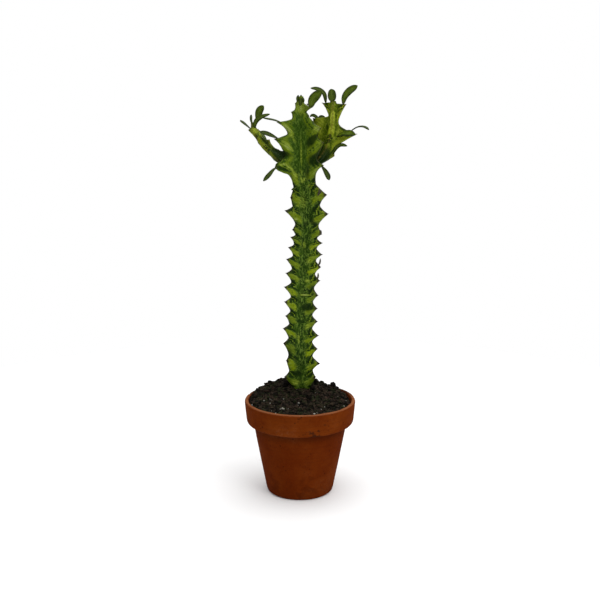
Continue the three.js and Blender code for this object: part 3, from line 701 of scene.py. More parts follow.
# All in mm and degrees. The axis is points x, y, z, and a spot begins with x, z. In the other tables the
# first number is the height, or on an arm the way along it, counted from base. ends are the lowest ring,
# the first notch and the top. A tooth is its height and reach and, where it differs, how late it rises
# and falls. hook puts the notch above a tooth at that share of the way to the next one. glow is how
# bright each tooth is, fill is flesh between the teeth, and a bare rib has no thorns and no horn.
mainStem = {
    # how steeply the markings run down from the teeth to the valley
    "slant": [(60, 0.55), (225, 0.6), (246, 1), (262, 1.45), (300, 1.5)],
    "horn": [(42, 1), (234, 1), (246, 0.45), (300, 0.45)],    # how horny the tips are
    "axis": [
        (0.9, 11, 42), (0.9, 10.9, 84), (0.2, 9.8, 114), (1.3, 8.7, 146), (3.3, 7.4, 181), (5.2, 6.5, 207),
        (3.7, 5.6, 234), (1.1, 5, 252), (0.6, 4.5, 274), (0.3, 4.1, 298),
    ],
    "base": 42,
    "twist": [(210, 0), (250, -14)],
    "ribs": [
        {
            "turn": 90, "hook": 0.28,
            "teeth": [
                (93, 13), (107, 13), (118, 14.8), (129, 14.5), (139, 13.6), (149.5, 14.2), (161, 14.8),
                (171.5, 14.5), (181.5, 14.8), (190, 13.8), (197, 12.5), (207.5, 15), (221, 16.5), (236, 13),
                (252, 20, 4), (268, 18.5), (279, 14), (287, 8.6), (293, 5),
            ],
            "glow": [
                0.4, 0.6, 0.3, 0.7, 0.5, 0.6, 0.4, 0.7, 0.5, 0.6, 0.4, 0.6, 0.5, 0.5, 0.5, 0.6, 0.6, 0.5,
                0.5,
            ],
        },
        {
            "turn": 210, "hook": 0.3, "fill": [(244.5, 0), (248, 6.4), (252, 7.4), (253.6, 3), (257, 0)],
            "teeth": [
                (88.8, 15.2), (101.6, 12.9), (115.2, 15.2), (126.5, 15.6), (136, 14), (146.9, 15.2),
                (158.3, 16.2), (168.7, 15.4), (179.2, 15.6), (187.8, 14.8), (195.5, 13.6), (201.3, 12.6),
                (217.1, 18.4), (226.3, 12.8), (250.2, 20.8, 4, 1.6), (268, 20.4, 1.8), (280, 18.2),
                (287, 7.4), (293, 4.4),
            ],
            "glow": [
                0.1, 0.75, 0.15, 0.75, 0.35, 0.8, 0.75, 0.5, 0.5, 0.65, 0.45, 0.35, 0.5, 0.5, 0.55, 0.65,
                0.6, 0.5, 0.5,
            ],
        },
        {
            "turn": 330, "hook": 0.44,
            "fill": [(238, 0), (250, 2.5), (258, 5), (268, 5.5), (276, 5.5), (282, 4.5), (287, 0)],
            "teeth": [
                (87.8, 13.2), (99, 17.2), (110.8, 15.5), (121.7, 16.1), (132.7, 14.8), (142.7, 14),
                (153, 14.1), (164.4, 14.8), (174.9, 14.9), (184.6, 15.3), (193.3, 14.5), (199.5, 13.4),
                (213.6, 18.3), (226.9, 19), (247.4, 21.6, 3.6), (265.5, 22.6), (275.5, 20.4), (284, 8.6),
                (290, 11.6),
            ],
            "glow": [
                0.2, 0.65, 1, 0.6, 0.5, 0.4, 0.3, 0.35, 1, 0.5, 0.8, 0.4, 0.6, 0.6, 0.45, 0.85, 0.9, 0.5,
                0.6,
            ],
        },
    ],
    "notch": [
        (42, 3.4), (45, 5), (56, 5.6), (73, 5.8), (78, 8.4), (84, 9.6), (92, 10.4), (106, 10.6), (142, 9.4),
        (178, 10), (198, 9), (221, 11.6), (234, 9.3), (242, 9.6), (252, 11), (261, 12.6), (270, 10.8),
        (280, 7.4), (286, 5.2), (292, 3.4), (298, 2.3),
    ],
    "groove": [
        (42, 2.6), (45, 4.8), (74, 5.4), (82, 6.4), (140, 5.7), (198, 5.3), (221, 6.2), (240, 5.4),
        (260, 5.6), (275, 4.6), (286, 3.1), (298, 1.6),
    ],
    "thick": [(42, 1.6), (45, 2.6), (260, 2.8), (275, 2.4), (287, 1.5), (298, 0.9)],
    "ends": (42, 80, 298),
    # dark (over 0) spots, largely painted shade in the creases at the arms' joins and between the crown's
    # teeth, and pale (under 0) spots, partly painted highlight and partly real pale marks such as the scar:
    # x, z, half width, half height in mm, tilt, amount
    "spots": [
        (8.6, 267, 5.8, 2.8, 58, 1.6), (8, 256, 3, 9, -20, 0.35), (11.6, 253, 4.6, 4, 30, 1.6),
        (15.4, 258.6, 2.6, 5, -30, 1.5), (-10, 257.4, 6, 2.8, -12, 1.3), (5.6, 243, 1.8, 6, 0, 0.8),
        (7.2, 286, 2.4, 3, 0, 1), (10.4, 273.4, 1.8, 6.4, -36, -1.1), (13.4, 273.8, 1.2, 2, -30, -1.3),
        (15, 272.2, 1, 0.7, -40, -1.3), (12.4, 262, 1.5, 7, -30, -0.9), (13.6, 263, 0.7, 3.4, -30, -0.5),
        (16.6, 268, 1.6, 2.2, -30, 0.7), (7.2, 273, 0.7, 6, -14, 0.7), (-9.2, 261.6, 6, 2.4, -48, -1.4),
        (-11.6, 264.4, 5, 0.5, -44, 0.6), (-6.4, 259.6, 3, 0.5, -40, -0.8), (-8, 273.4, 5, 1.8, -52, -1.4),
        (-5, 270.4, 3, 0.5, -50, 0.7), (-4.4, 266.6, 2.6, 1, -60, -0.7), (-12.4, 249.2, 3.2, 0.8, 10, -1.3),
        (-8, 247.4, 3, 0.8, -32, -1.3), (-4.4, 242.8, 3.6, 0.9, -58, -1.2), (-14, 246.8, 2.6, 0.7, 10, 0.9),
        (-9.6, 245.2, 2.8, 0.7, -32, 0.9), (-6.4, 241, 3.4, 0.7, -62, 0.8), (-9, 252.6, 5.6, 0.9, 0, -0.6),
        (13, 247, 0.9, 4.4, -52, -1), (10.8, 244, 0.8, 4, -30, -0.7), (0.4, 289, 2.6, 4.5, 0, -1.2),
        (1, 258, 0.5, 12, 0, -0.9), (3.2, 238.6, 0.8, 2.4, -24, -1.2), (1, 240, 0.5, 8, 0, -0.8),
        (6.8, 234.4, 0.9, 1.8, -30, -1), (-11.5, 277.5, 2.6, 1.4, -20, -0.6), (-1.5, 90.8, 3, 2.6, 0, 1.4),
        (-3.6, 83.9, 3.4, 2.4, 0, -1), (4.6, 84, 2.6, 1.6, 0, -0.6), (5.3, 142.8, 5, 2.8, 0, 1.3),
        (-8.5, 106, 3, 4.5, 0, 1), (9.5, 158, 3, 2.6, 0, 0.9), (3.6, 152.3, 3.8, 0.5, 0, -2),
        (5.5, 163, 2, 1.8, 0, -0.9), (7, 178, 3, 3, 0, -0.6), (4, 206, 2, 2, 0, 1),
        (8.5, 209, 2.4, 3, 0, 0.9), (2.2, 222, 3, 7, 0, -0.5), (-6.5, 204, 3, 1.4, 0, 1.1),
        (-3, 209.5, 1, 0.8, 0, -2), (11, 206, 2, 1.4, 0, 1), (6, 128, 2.6, 1.6, 0, -0.7),
        (-1, 118, 1, 4, 0, -0.8), (3.2, 190, 1, 3, 0, -0.9),
    ],
}

leftArm = {
    "slant": [(0, 1.25), (60, 1.25)],
    "horn": [(0, 0.45), (60, 0.45)],
    "axis": [
        (-5, 8, 251.4), (-13.6, 6.4, 253.8), (-22, 7, 259.6), (-29.6, 8.2, 267.4), (-33.6, 9, 274),
        (-34.8, 10.2, 279),
    ],
    "base": 0,
    "twist": [(0, 0), (1, 0)],
    "ribs": [
        {"turn": 5, "hook": 0.3, "teeth": [(14, 4.4), (25, 5.6), (37, 3.4)], "glow": [0.3, 0.6, 0.6]},
        {"turn": 128, "hook": 0.3, "teeth": [(13, 6.4), (29, 4.2), (40, 6.4)], "glow": [0.2, 0.5, 0.7]},
        {"turn": 236, "hook": 0.3, "teeth": [
            (17, 5), (32, 3.2), (39, 3),
        ], "glow": [
            0.3, 0.6, 0.7,
        ], "bare": True},
    ],
    "notch": [(0, 6.2), (9, 5.8), (15, 3.8), (22, 3), (32, 2.5), (40, 2.2), (44, 1.2)],
    "groove": [(0, 4.2), (9, 3.8), (15, 2.7), (22, 2.1), (40, 1.5), (44, 0.8)],
    "thick": [(0, 2), (14, 1.7), (30, 1.2), (44, 0.6)],
    "ends": (0, 8, 43.5),
    # spots as on the stem; the dark one at the base is painted shade in the crease where the arm joins the
    # stem
    "spots": [
        (-14.5, 257.4, 6.4, 4.6, -14, 1.5), (-24.4, 264.6, 1.6, 6, 40, 0.7),
        (-33.6, 273.4, 4, 2.4, 0, -0.8), (-28.6, 263.6, 0.9, 8, 42, -0.5), (-27, 267, 9, 3.2, 42, 0.42),
        (-20.5, 255.4, 0.9, 6, 44, -0.7),
    ],
}

rightArm = {
    "slant": [(0, 1.25), (60, 1.25)],
    "horn": [(0, 0.45), (60, 0.45)],
    "axis": [
        (6, 3.6, 250.5), (13.4, 2, 254.5), (20, -0.6, 263.5), (23.2, -2.3, 275), (23.8, -3, 285),
        (23.6, -3.9, 294),
    ],
    "base": 0,
    "twist": [(0, 0), (1, 0)],
    "ribs": [
        {"turn": -18, "hook": 0.3, "teeth": [
            (16, 8.8), (31.5, 19, 1.2, 3), (48.8, 10),
        ], "glow": [
            0.4, 0.7, 0.8,
        ]},
        {"turn": 84, "hook": 0.3, "teeth": [(19, 7.4), (32, 9), (44, 6.6)], "glow": [0.4, 0.6, 0.7]},
        {"turn": 154, "hook": 0.2, "teeth": [(18, 9.4), (38.5, 16.2, 0.35), (49.8, 8.8)],
         "glow": [0.4, 0.5, 0.8], "fill": [(14, 0), (22, 6), (34, 5), (40, 0)]},
        {"turn": 262, "hook": 0.3, "teeth": [
            (22, 6.2), (34.5, 4.9), (46, 3.6),
        ], "glow": [
            0.6, 0.8, 0.9,
        ], "bare": True},
    ],
    "notch": [(0, 5), (10, 5.8), (20, 5.8), (30, 4.8), (40, 3.9), (48, 3.4), (52, 1.8)],
    "groove": [(0, 4), (10, 4.4), (20, 4.2), (30, 3.4), (40, 2.7), (48, 2.2), (52, 1.1)],
    "thick": [(0, 2.2), (20, 2), (40, 1.5), (52, 0.8)],
    "ends": (0, 8, 52),
    # spots as on the stem; the dark one at the base is painted shade in the crease where the arm joins the
    # stem
    "spots": [
        (15.6, 254.4, 5.6, 7.6, -25, 2.2), (18, 268.6, 1, 7, -8, 0.35), (14.4, 273, 2.6, 7, 0, -0.5),
        (16.4, 279.6, 3, 1, -30, -0.5), (23, 281.8, 2, 11, 0, -1), (27.3, 287.1, 1.6, 4, 0, 0.7),
        (32, 274.2, 3.6, 1.4, -10, 1.2), (13.7, 277, 2.4, 5, 0, -0.6), (22.6, 254.4, 1.2, 7, -38, -0.9),
        (20.4, 284, 1.2, 5, 0, 0.5), (19.6, 276, 1, 5, 10, 0.8),
    ],
}


def axisLine(points, perSpan=60):
    # a smooth line through the points with its length along it
    given = np.array(points, float)
    given = np.vstack([2 * given[0] - given[1], given, 2 * given[-1] - given[-2]])
    line = []
    shares = np.linspace(0, 1, perSpan, endpoint=False)[:, None]
    for i in range(1, len(given) - 2):
        line.append(throughPoints(*given[i - 1:i + 3], shares))
    line = np.vstack(line + [given[-2]])
    length = np.concatenate([[0], np.cumsum(np.linalg.norm(np.diff(line, axis=0), axis=1))])
    return line, length


def throughPoints(a, b, c, d, share):
    # the part from b to c of a smooth line through a, b, c and d, however unevenly they are spaced
    pairs = ((a, b), (b, c), (c, d))
    gap = [np.sqrt(np.linalg.norm(q - p, axis=-1, keepdims=True)) + 1e-5 for p, q in pairs]
    t1 = gap[0]
    t2 = t1 + gap[1]
    t3 = t2 + gap[2]
    t = t1 + share * gap[1]
    ab = ((t1 - t) * a + t * b) / t1
    bc = ((t2 - t) * b + (t - t1) * c) / gap[1]
    cd = ((t3 - t) * c + (t - t2) * d) / gap[2]
    abc = ((t2 - t) * ab + t * bc) / t2
    bcd = ((t3 - t) * bc + (t - t1) * cd) / (gap[1] + gap[2])
    return ((t2 - t) * abc + (t - t1) * bcd) / gap[1]


def stemPlaces(shape):
    # gives at(place, turn, out, aside): points round the stem's axis, in mm
    line, length = axisLine(shape["axis"])
    tangent = np.gradient(line, length, axis=0)

    def at(place, turn, out, aside=0.0):
        place, out, aside = (np.asarray(v, float) for v in (place, out, aside))
        run = np.clip(place - shape["base"], 0, length[-1])
        centre = np.stack([np.interp(run, length, line[:, k]) for k in range(3)], axis=-1)
        ahead = np.stack([np.interp(run, length, tangent[:, k]) for k in range(3)], axis=-1)
        ahead /= np.linalg.norm(ahead, axis=-1, keepdims=True)
        right = np.array([1.0, 0, 0]) - ahead * ahead[..., :1]
        right /= np.linalg.norm(right, axis=-1, keepdims=True)
        back = np.cross(ahead, right)
        angle = np.radians(turn + along(shape["twist"], place))[..., None]
        outward = right * np.cos(angle) + back * np.sin(angle)
        sideways = np.cross(ahead, outward)
        return centre + outward * out[..., None] + sideways * aside[..., None]

    return at


def ribRows(shape, rib):
    # one rib ring by ring: place, reach of the crest, half its width, rise of the tooth, upper side
    low, first, top = shape["ends"]
    rows = [(place, 0, 0, 0) for place in np.linspace(low, first, flesh["endSteps"] + 1)]
    notches = [first]
    for i, tooth in enumerate(rib["teeth"]):
        tip, far = tooth[0], tooth[1] - flesh["thornGap"]
        late = tooth[2] if len(tooth) > 2 else flesh["late"]
        downLate = tooth[3] if len(tooth) > 3 else flesh["downLate"]
        following = rib["teeth"][i + 1][0] if i + 1 < len(rib["teeth"]) else top - 0.5
        below, above = notches[-1], tip + rib["hook"] * (following - tip)
        for share in np.linspace(0, 1, flesh["upSteps"] + 1)[1:]:
            share = 1 - (1 - share) ** flesh["crowding"]
            rows.append((below + share * (tip - below), share ** late, 0, far))
        for share in np.linspace(0, 1, flesh["downSteps"] + 1)[1:]:
            share = share ** flesh["crowding"]
            rows.append((tip + share * (above - tip), (1 - share) ** downLate, 1, far))
        notches.append(above)
    for share in np.linspace(0, 1, flesh["endSteps"] + 1)[1:]:
        rows.append((notches[-1] + share * (top - notches[-1]), 0, 0, 0))
    place, rise, over, reach = np.array(rows, float).T
    base = along(shape["notch"], place) + along(rib.get("fill", [(0, 0), (1, 0)]), place)
    crest = base + rise * (reach - base)
    half = flesh["notchHalf"] + (flesh["tipHalf"] - flesh["notchHalf"]) * np.maximum(rise, 0) ** 0.6
    return {"place": place, "crest": crest, "half": half, "rise": rise, "over": over, "notches": notches}


def fleshRings(shape, rows, at):
    # six guides a rib: crest, its edge, the flank, the valley, the next flank and its edge
    ribs = shape["ribs"]
    guides = []
    for k, rib in enumerate(ribs):
        after = (k + 1) % len(ribs)
        nextTurn = ribs[after]["turn"] + (360 if after == 0 else 0)
        sides = []
        for row, turn, side in ((rows[k], rib["turn"], 1), (rows[after], nextTurn, -1)):
            place, crest = row["place"], row["crest"]
            thick = along(shape["thick"], place)
            edge = np.minimum(row["half"], 0.75 * thick)
            flank = np.minimum(along(shape["notch"], place), crest) * flesh["flank"]
            sides.append((at(place, turn, crest), at(place, turn, crest - flesh["bevel"] * edge, side * edge),
                          at(place, turn, flank, side * thick)))
        valleyPlace = (rows[k]["place"] + rows[after]["place"]) / 2
        valley = at(valleyPlace, (rib["turn"] + nextTurn) / 2, along(shape["groove"], valleyPlace))
        guides += [*sides[0], valley, sides[1][2], sides[1][1]]
    shares = flesh["shares"] + flesh["shares"][::-1]
    columns = []
    for j in range(len(guides)):
        a, b, c, d = (guides[(j + step) % len(guides)] for step in (-1, 0, 1, 2))
        steps = shares[j % 6]
        columns += [throughPoints(a, b, c, d, i / steps) for i in range(steps)]
    return np.stack(columns, axis=1)    # ring, column, xyz


def fleshTube(name, wanted):
    # an open cylinder: its upright edges are cut twice, which gives all the rings, and it is closed
    rings, around = wanted.shape[:2]
    pickOnly()
    bpy.ops.mesh.primitive_cylinder_add(vertices=around, radius=1, depth=1, end_fill_type="NOTHING")
    tube = nameIt(bpy.context.active_object, name)
    perTooth = flesh["upSteps"] + flesh["downSteps"]
    for cuts in ((rings - 1) // perTooth - 1, perTooth - 1):
        cutUpright(tube, cuts)
    points = pointsOf(tube)
    ring = np.rint((points[:, 2] + 0.5) * (rings - 1)).astype(int)
    column = np.rint(np.arctan2(points[:, 1], points[:, 0]) / math.tau * around).astype(int) % around
    placePoints(tube, wanted[ring, column] * mm)
    print(name, "rings", rings, "columns", around, "points", len(points))
    editAll(tube)
    bpy.ops.mesh.fill_holes(sides=0)
    bpy.ops.mesh.select_all(action="SELECT")
    bpy.ops.mesh.normals_make_consistent(inside=False)
    bpy.ops.object.mode_set(mode="OBJECT")
    bpy.ops.object.shade_smooth()
    return tube, ring, column


def fleshMarks(shape, rows, wanted):
    # how far in from the nearest crest each point lies, and where between two notches
    ribs = shape["ribs"]
    rings, around = wanted.shape[:2]
    perRib = around // len(ribs)
    middle = perRib // 2
    steps = np.linalg.norm(np.roll(wanted, -1, axis=1) - wanted, axis=2)
    inward, whole, heightAt, phase, glow, rise, over = (np.zeros((rings, around)) for i in range(7))
    for k in range(len(ribs)):
        after = (k + 1) % len(ribs)
        run = np.cumsum(steps[:, k * perRib:(k + 1) * perRib], axis=1)
        fromCrest = np.concatenate([np.zeros((rings, 1)), run], axis=1)
        for i in range(perRib):
            c, share, near = k * perRib + i, i / perRib, i <= middle
            inward[:, c] = fromCrest[:, i] if near else fromCrest[:, -1] - fromCrest[:, i]
            whole[:, c] = fromCrest[:, middle] if near else fromCrest[:, -1] - fromCrest[:, middle]
            heightAt[:, c] = rows[k]["place"] * (1 - share) + rows[after]["place"] * share
    depth = inward / np.maximum(whole, 1e-6)
    slid = heightAt + along(shape["slant"], heightAt) * inward
    for c in range(around):
        k = (c + middle) // perRib % len(ribs)
        notches = np.array([shape["ends"][0] - 40] + rows[k]["notches"] + [shape["ends"][2] + 40])
        index = np.clip(np.searchsorted(notches, slid[:, c], side="right") - 1, 0, len(notches) - 2)
        phase[:, c] = (slid[:, c] - notches[index]) / (notches[index + 1] - notches[index])
        glows = np.array([0.3] + ribs[k]["glow"] + [ribs[k]["glow"][-1]])
        glow[:, c] = glows[np.clip(index, 0, len(glows) - 1)]
        rise[:, c] = rows[k]["rise"] * (0 if ribs[k].get("bare") else 1)
        over[:, c] = rows[k]["over"]
    nearTip = smooth(0.6, 0.97, rise) * (1 - smooth(0.6, 3.0, inward))
    margin = over * smooth(0.0, 0.25, rise) * (1 - smooth(0.35, 1.3, inward))
    nearTip = np.maximum(nearTip, 0.7 * margin) * along(shape["horn"], heightAt)
    return {"inward": inward, "depth": depth, "slid": slid, "phase": phase, "glow": glow, "tip": nearTip,
            "upAlong": heightAt}


def ribbedFlesh(name, shape):
    at = stemPlaces(shape)
    rows = [ribRows(shape, rib) for rib in shape["ribs"]]
    wanted = fleshRings(shape, rows, at)
    tube, ring, column = fleshTube(name, wanted)
    marks = {key: values[ring, column] for key, values in fleshMarks(shape, rows, wanted).items()}
    for key, values in marks.items():
        paint(tube, key, values)
    paintSpots(tube, "shade", shape["spots"])
    # the flesh swells under each tooth and is a little lumpy all over
    bulge = smooth(0.05, 0.4, marks["phase"]) * (1 - smooth(0.72, 0.98, marks["phase"]))
    bulge *= smooth(0.9, 0.35, marks["depth"]) * smooth(0.6, 2.2, marks["inward"])
    broad, fine = flesh["lumps"]
    swell = flesh["swell"] * bulge + broad * wobble(pointsOf(tube), 0.006, 41)
    swell += fine * wobble(pointsOf(tube), 0.0017, 42)
    swell *= 1 - flesh["tipStiff"] * marks["tip"]
    placePoints(tube, pointsOf(tube) + normalsOf(tube) * (swell * mm)[:, None])
    return tube, at


def skinMaterial(name, colours, zones, roughness):
    colours = {key: tint(*colour) for key, colour in colours.items()}
    look, tree, shader = startMaterial(name, roughness, 0.07)
    place = objectPlace(tree)
    inward, depth, slid, shade = (readAttribute(tree, key) for key in ("inward", "depth", "slid", "shade"))
    phase, glow, tip, up = (readAttribute(tree, key) for key in ("phase", "glow", "tip", "upAlong"))
    # flow runs with the markings, from each tooth down to the valley
    apart = times(tree, addNode(tree, "SeparateXYZ", {0: place}).outputs["X"], 160.0)
    flow = addNode(tree, "CombineXYZ", {0: slid, 1: times(tree, inward, 0.3), 2: apart}).outputs[0]
    cloud = grain(tree, place, 230, 3, 0.62, 0.5)
    mottle = grain(tree, place, 760, 3, 0.6)
    streak = grain(tree, flow, 0.95, 3, 0.6, 0.7)
    flecks = grain(tree, stretch(tree, place, 900, 900, 300), 1.0, 3, 0.62, 0.8)
    uneven = maths(tree, "SUBTRACT", cloud, 0.5)
    wander = maths(tree, "MULTIPLY_ADD", uneven, 0.7, phase)
    colour = blend(tree, fit(tree, cloud, 0.4, 0.6), colours["deep"], colours["mid"])
    colour = blend(tree, fit(tree, mottle, 0.48, 0.64, 0, 0.55), colour, colours["green"])
    colour = blend(tree, fit(tree, streak, 0.5, 0.4, 0, 0.55), colour, colours["deep"])
    # valley: dark, with pale grey-green flecks that run up the stem
    valley = fit(tree, depth, 0.6, 0.95, 0, 0.5)
    colour = blend(tree, valley, colour, colours["deep"])
    pale = times(tree, fit(tree, flecks, 0.52, 0.62), fit(tree, depth, 0.4, 0.8, 0.12, 0.85))
    colour = blend(tree, pale, colour, colours["pale"])
    # the lit lens beside and under every tooth, with a streaky edge
    lens = times(tree, fit(tree, wander, 0.12, 0.4), fit(tree, wander, 0.66, 0.9, 1, 0))
    unevenDepth = maths(tree, "MULTIPLY_ADD", uneven, 0.6, depth)
    lens = times(tree, lens, fit(tree, unevenDepth, 0.44, 0.8, 1, 0))
    lens = maths(tree, "MULTIPLY_ADD", maths(tree, "SUBTRACT", streak, 0.5), 1.8, lens)
    lit = blend(tree, glow, colours["soft"], colours["bright"])
    lit = blend(tree, fit(tree, streak, 0.5, 0.58, 0, 0.7), lit, colours["lime"])
    lit = blend(tree, fit(tree, mottle, 0.5, 0.62, 0, 0.45), lit, colours["green"])
    fringe = times(tree, fit(tree, lens, 0.05, 0.25), fit(tree, lens, 0.3, 0.55, 1, 0))
    fringe = times(tree, fringe, fit(tree, mottle, 0.42, 0.58, 0, 0.8))
    colour = blend(tree, fringe, colour, colours["pale"])
    strength = maths(tree, "MULTIPLY_ADD", glow, 0.5, 0.45)
    colour = blend(tree, times(tree, fit(tree, lens, 0.25, 0.85), strength), colour, lit)
    # a dark wedge opens at each notch and runs in as a thin line
    nearNotch = maths(tree, "SUBTRACT", 0.5, maths(tree, "ABSOLUTE", maths(tree, "SUBTRACT", wander, 0.5)))
    opening = maths(tree, "MULTIPLY_ADD", depth, -0.2, 0.21)
    wedge = fit(tree, maths(tree, "SUBTRACT", nearNotch, opening), -0.06, 0.06, 1, 0)
    wedge = times(tree, wedge, fit(tree, depth, 0.5, 1.0, 0.9, 0.1))
    colour = blend(tree, wedge, colour, colours["wedge"])
    for where, share, over in zones:
        colour = blend(tree, times(tree, fit(tree, up, *where), share), colour, tint(*over))
    # the painted spots, broken up by the streaks: the dark ones largely painted shade, the palest partly
    # painted highlight
    fromMiddle = maths(tree, "SUBTRACT", streak, 0.5)
    unevenShade = maths(tree, "MULTIPLY_ADD", fromMiddle, times(tree, shade, 1.2), shade)
    colour = blend(tree, fit(tree, unevenShade, 0.1, 1.0, 0, 0.9), colour, colours["wedge"])
    paleSpot = blend(tree, fit(tree, streak, 0.42, 0.58), colours["soft"], colours["lime"])
    colour = blend(tree, fit(tree, unevenShade, -0.1, -0.9, 0, 0.95), colour, paleSpot)
    colour = blend(tree, fit(tree, unevenShade, -0.8, -1.7, 0, 0.9), colour, colours["bloom"])
    # grey-brown dry skin along the crest, and horn at the tips
    edge = times(tree, fit(tree, inward, 0.3, 1.0, 0.6, 0), fit(tree, mottle, 0.38, 0.58))
    colour = blend(tree, edge, colour, colours["dry"])
    colour = blend(tree, fit(tree, tip, 0.05, 0.4, 0, 0.55), colour, colours["dry"])
    colour = blend(tree, fit(tree, tip, 0.4, 0.75), colour, colours["horn"])
    tree.links.new(colour, shader.inputs["Base Color"])
    rough = fit(tree, mottle, 0.3, 0.7, roughness - 0.08, roughness + 0.12)
    tree.links.new(rough, shader.inputs["Roughness"])
    height = maths(tree, "ADD", mottle, times(tree, streak, 0.8))
    addBump(tree, shader, height, 0.45, 0.0004)
    return look


# what each colour is for: deep, mid and green make the ground, pale the flecks, soft, bright and lime the lit
# lenses, wedge the dark notches and the dark spots, which are largely painted shade, bloom the palest spots,
# partly painted highlight, dry the crest and horn the tips; the zones are places up the flesh, how much of a
# colour lies there, and that colour
stemColours = {
    "deep": (20, 44, 0), "mid": (46, 74, 2), "green": (70, 96, 6), "pale": (98, 122, 44),
    "soft": (96, 116, 20), "bright": (132, 150, 2), "lime": (140, 158, 54), "wedge": (14, 34, 0),
    "bloom": (158, 168, 104), "dry": (66, 64, 34), "horn": (40, 36, 24),
}
stemZones = [((238.0, 252.0), 0.38, (52, 82, 6)), ((284.0, 292.0), 0.6, (120, 138, 40))]
youngColours = {
    "deep": (66, 86, 4), "mid": (98, 116, 10), "green": (112, 130, 16), "pale": (142, 154, 50),
    "soft": (120, 134, 22), "bright": (138, 150, 20), "lime": (154, 166, 52), "wedge": (16, 38, 0),
    "bloom": (168, 178, 96), "dry": (100, 88, 34), "horn": (56, 48, 28),
}
# the arms are painted darker towards their base: painted shade in the crease where each joins the stem
youngZones = [((22.0, 9.0), 0.8, (24, 46, 2))]

stem, atStem = ribbedFlesh("stemFlesh", mainStem)
left, atLeft = ribbedFlesh("leftArmFlesh", leftArm)
right, atRight = ribbedFlesh("rightArmFlesh", rightArm)
stem.data.materials.append(skinMaterial("stemSkin", stemColours, stemZones, 0.46))
for arm in (left, right):
    arm.data.materials.append(skinMaterial(arm.name + "Skin", youngColours, youngZones, 0.44))
for piece, node, slotName in ((stem, "main_stem", "stem_skin"), (left, "left_branch", "young_skin"),
                              (right, "right_branch", "young_skin")):
    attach(piece, "root")
    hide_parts(node)
print("flesh done")


# thorns: one curved thorn is made and set in pairs on every tooth

# length, radius at the root and depth in the flesh are in mm
thorn = {"length": 1.15, "radius": 0.36, "sunk": 0.75, "lean": 0.5, "rise": 0.12, "sizes": (0.75, 1.15),
         "bend": 0.09, "seed": 99}


def makeThornMaster():
    pickOnly()
    bpy.ops.mesh.primitive_cone_add(vertices=6, radius1=thorn["radius"], radius2=0.03,
                                    depth=thorn["length"], location=(0, 0, thorn["length"] / 2))
    spike = nameIt(bpy.context.active_object, "thornMaster")
    applyPlace(spike)
    cutUpright(spike, 3)
    points = pointsOf(spike)
    points[:, 0] += thorn["bend"] * points[:, 2] ** 2
    placePoints(spike, points)
    return spike


def setThorns(name, shape, at, master, draw):
    points, faces = pointsOf(master), facesOf(master)
    parts = []
    for rib in shape["ribs"]:
        for tooth in [] if rib.get("bare") else rib["teeth"]:
            place, reach = tooth[:2]
            root = at(place, rib["turn"], reach - flesh["thornGap"] - thorn["sunk"])
            ahead = at(place, rib["turn"], reach) - root
            ahead /= np.linalg.norm(ahead)
            aside = at(place, rib["turn"], reach, 1.0) - at(place, rib["turn"], reach)
            for side in (-1, 1):
                upward = thorn["rise"] * draw.uniform(0.2, 1.6)
                way = Vector(ahead + side * thorn["lean"] * aside + (0, 0, upward))
                turn = np.array(way.to_track_quat("Z", "X").to_matrix())
                size = draw.uniform(*thorn["sizes"])
                parts.append(((points * size) @ turn.T + root, faces))
    return gather(parts, name)


look, tree, shader = startMaterial("thornHorn", 0.5, 0.4)
thornGrain = grain(tree, objectPlace(tree), 900, 3)
thornColour = blend(tree, fit(tree, thornGrain, 0.35, 0.7), tint(28, 24, 16), tint(62, 52, 36))
tree.links.new(thornColour, shader.inputs["Base Color"])
master = makeThornMaster()
draw = random.Random(thorn["seed"])
for name, shape, at in (("stemThorns", mainStem, atStem), ("leftArmThorns", leftArm, atLeft),
                        ("rightArmThorns", rightArm, atRight)):
    spikes = setThorns(name, shape, at, master, draw)
    spikes.data.materials.append(look)
    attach(spikes, "root")
bpy.data.objects.remove(master)
print("thorns set")


# leaves: one grid blade is made, and each copy is laid along its own line, folded and thickened

# thick and thinUnder are in mm, and a leaf narrower than thinUnder is thinner; the tip begins at that
# share of the length; the lower blunt is, the fuller the outline
# the last entry is how much painted shade lies on one half of the blade, the half the fold turns from the
# light
leafShape = {"thick": 0.62, "thinUnder": 2.4, "fold": 0.26, "neck": 0.22, "twist": 0.05, "tip": 0.86,
             "blunt": 0.75, "shadedHalf": 0.25}
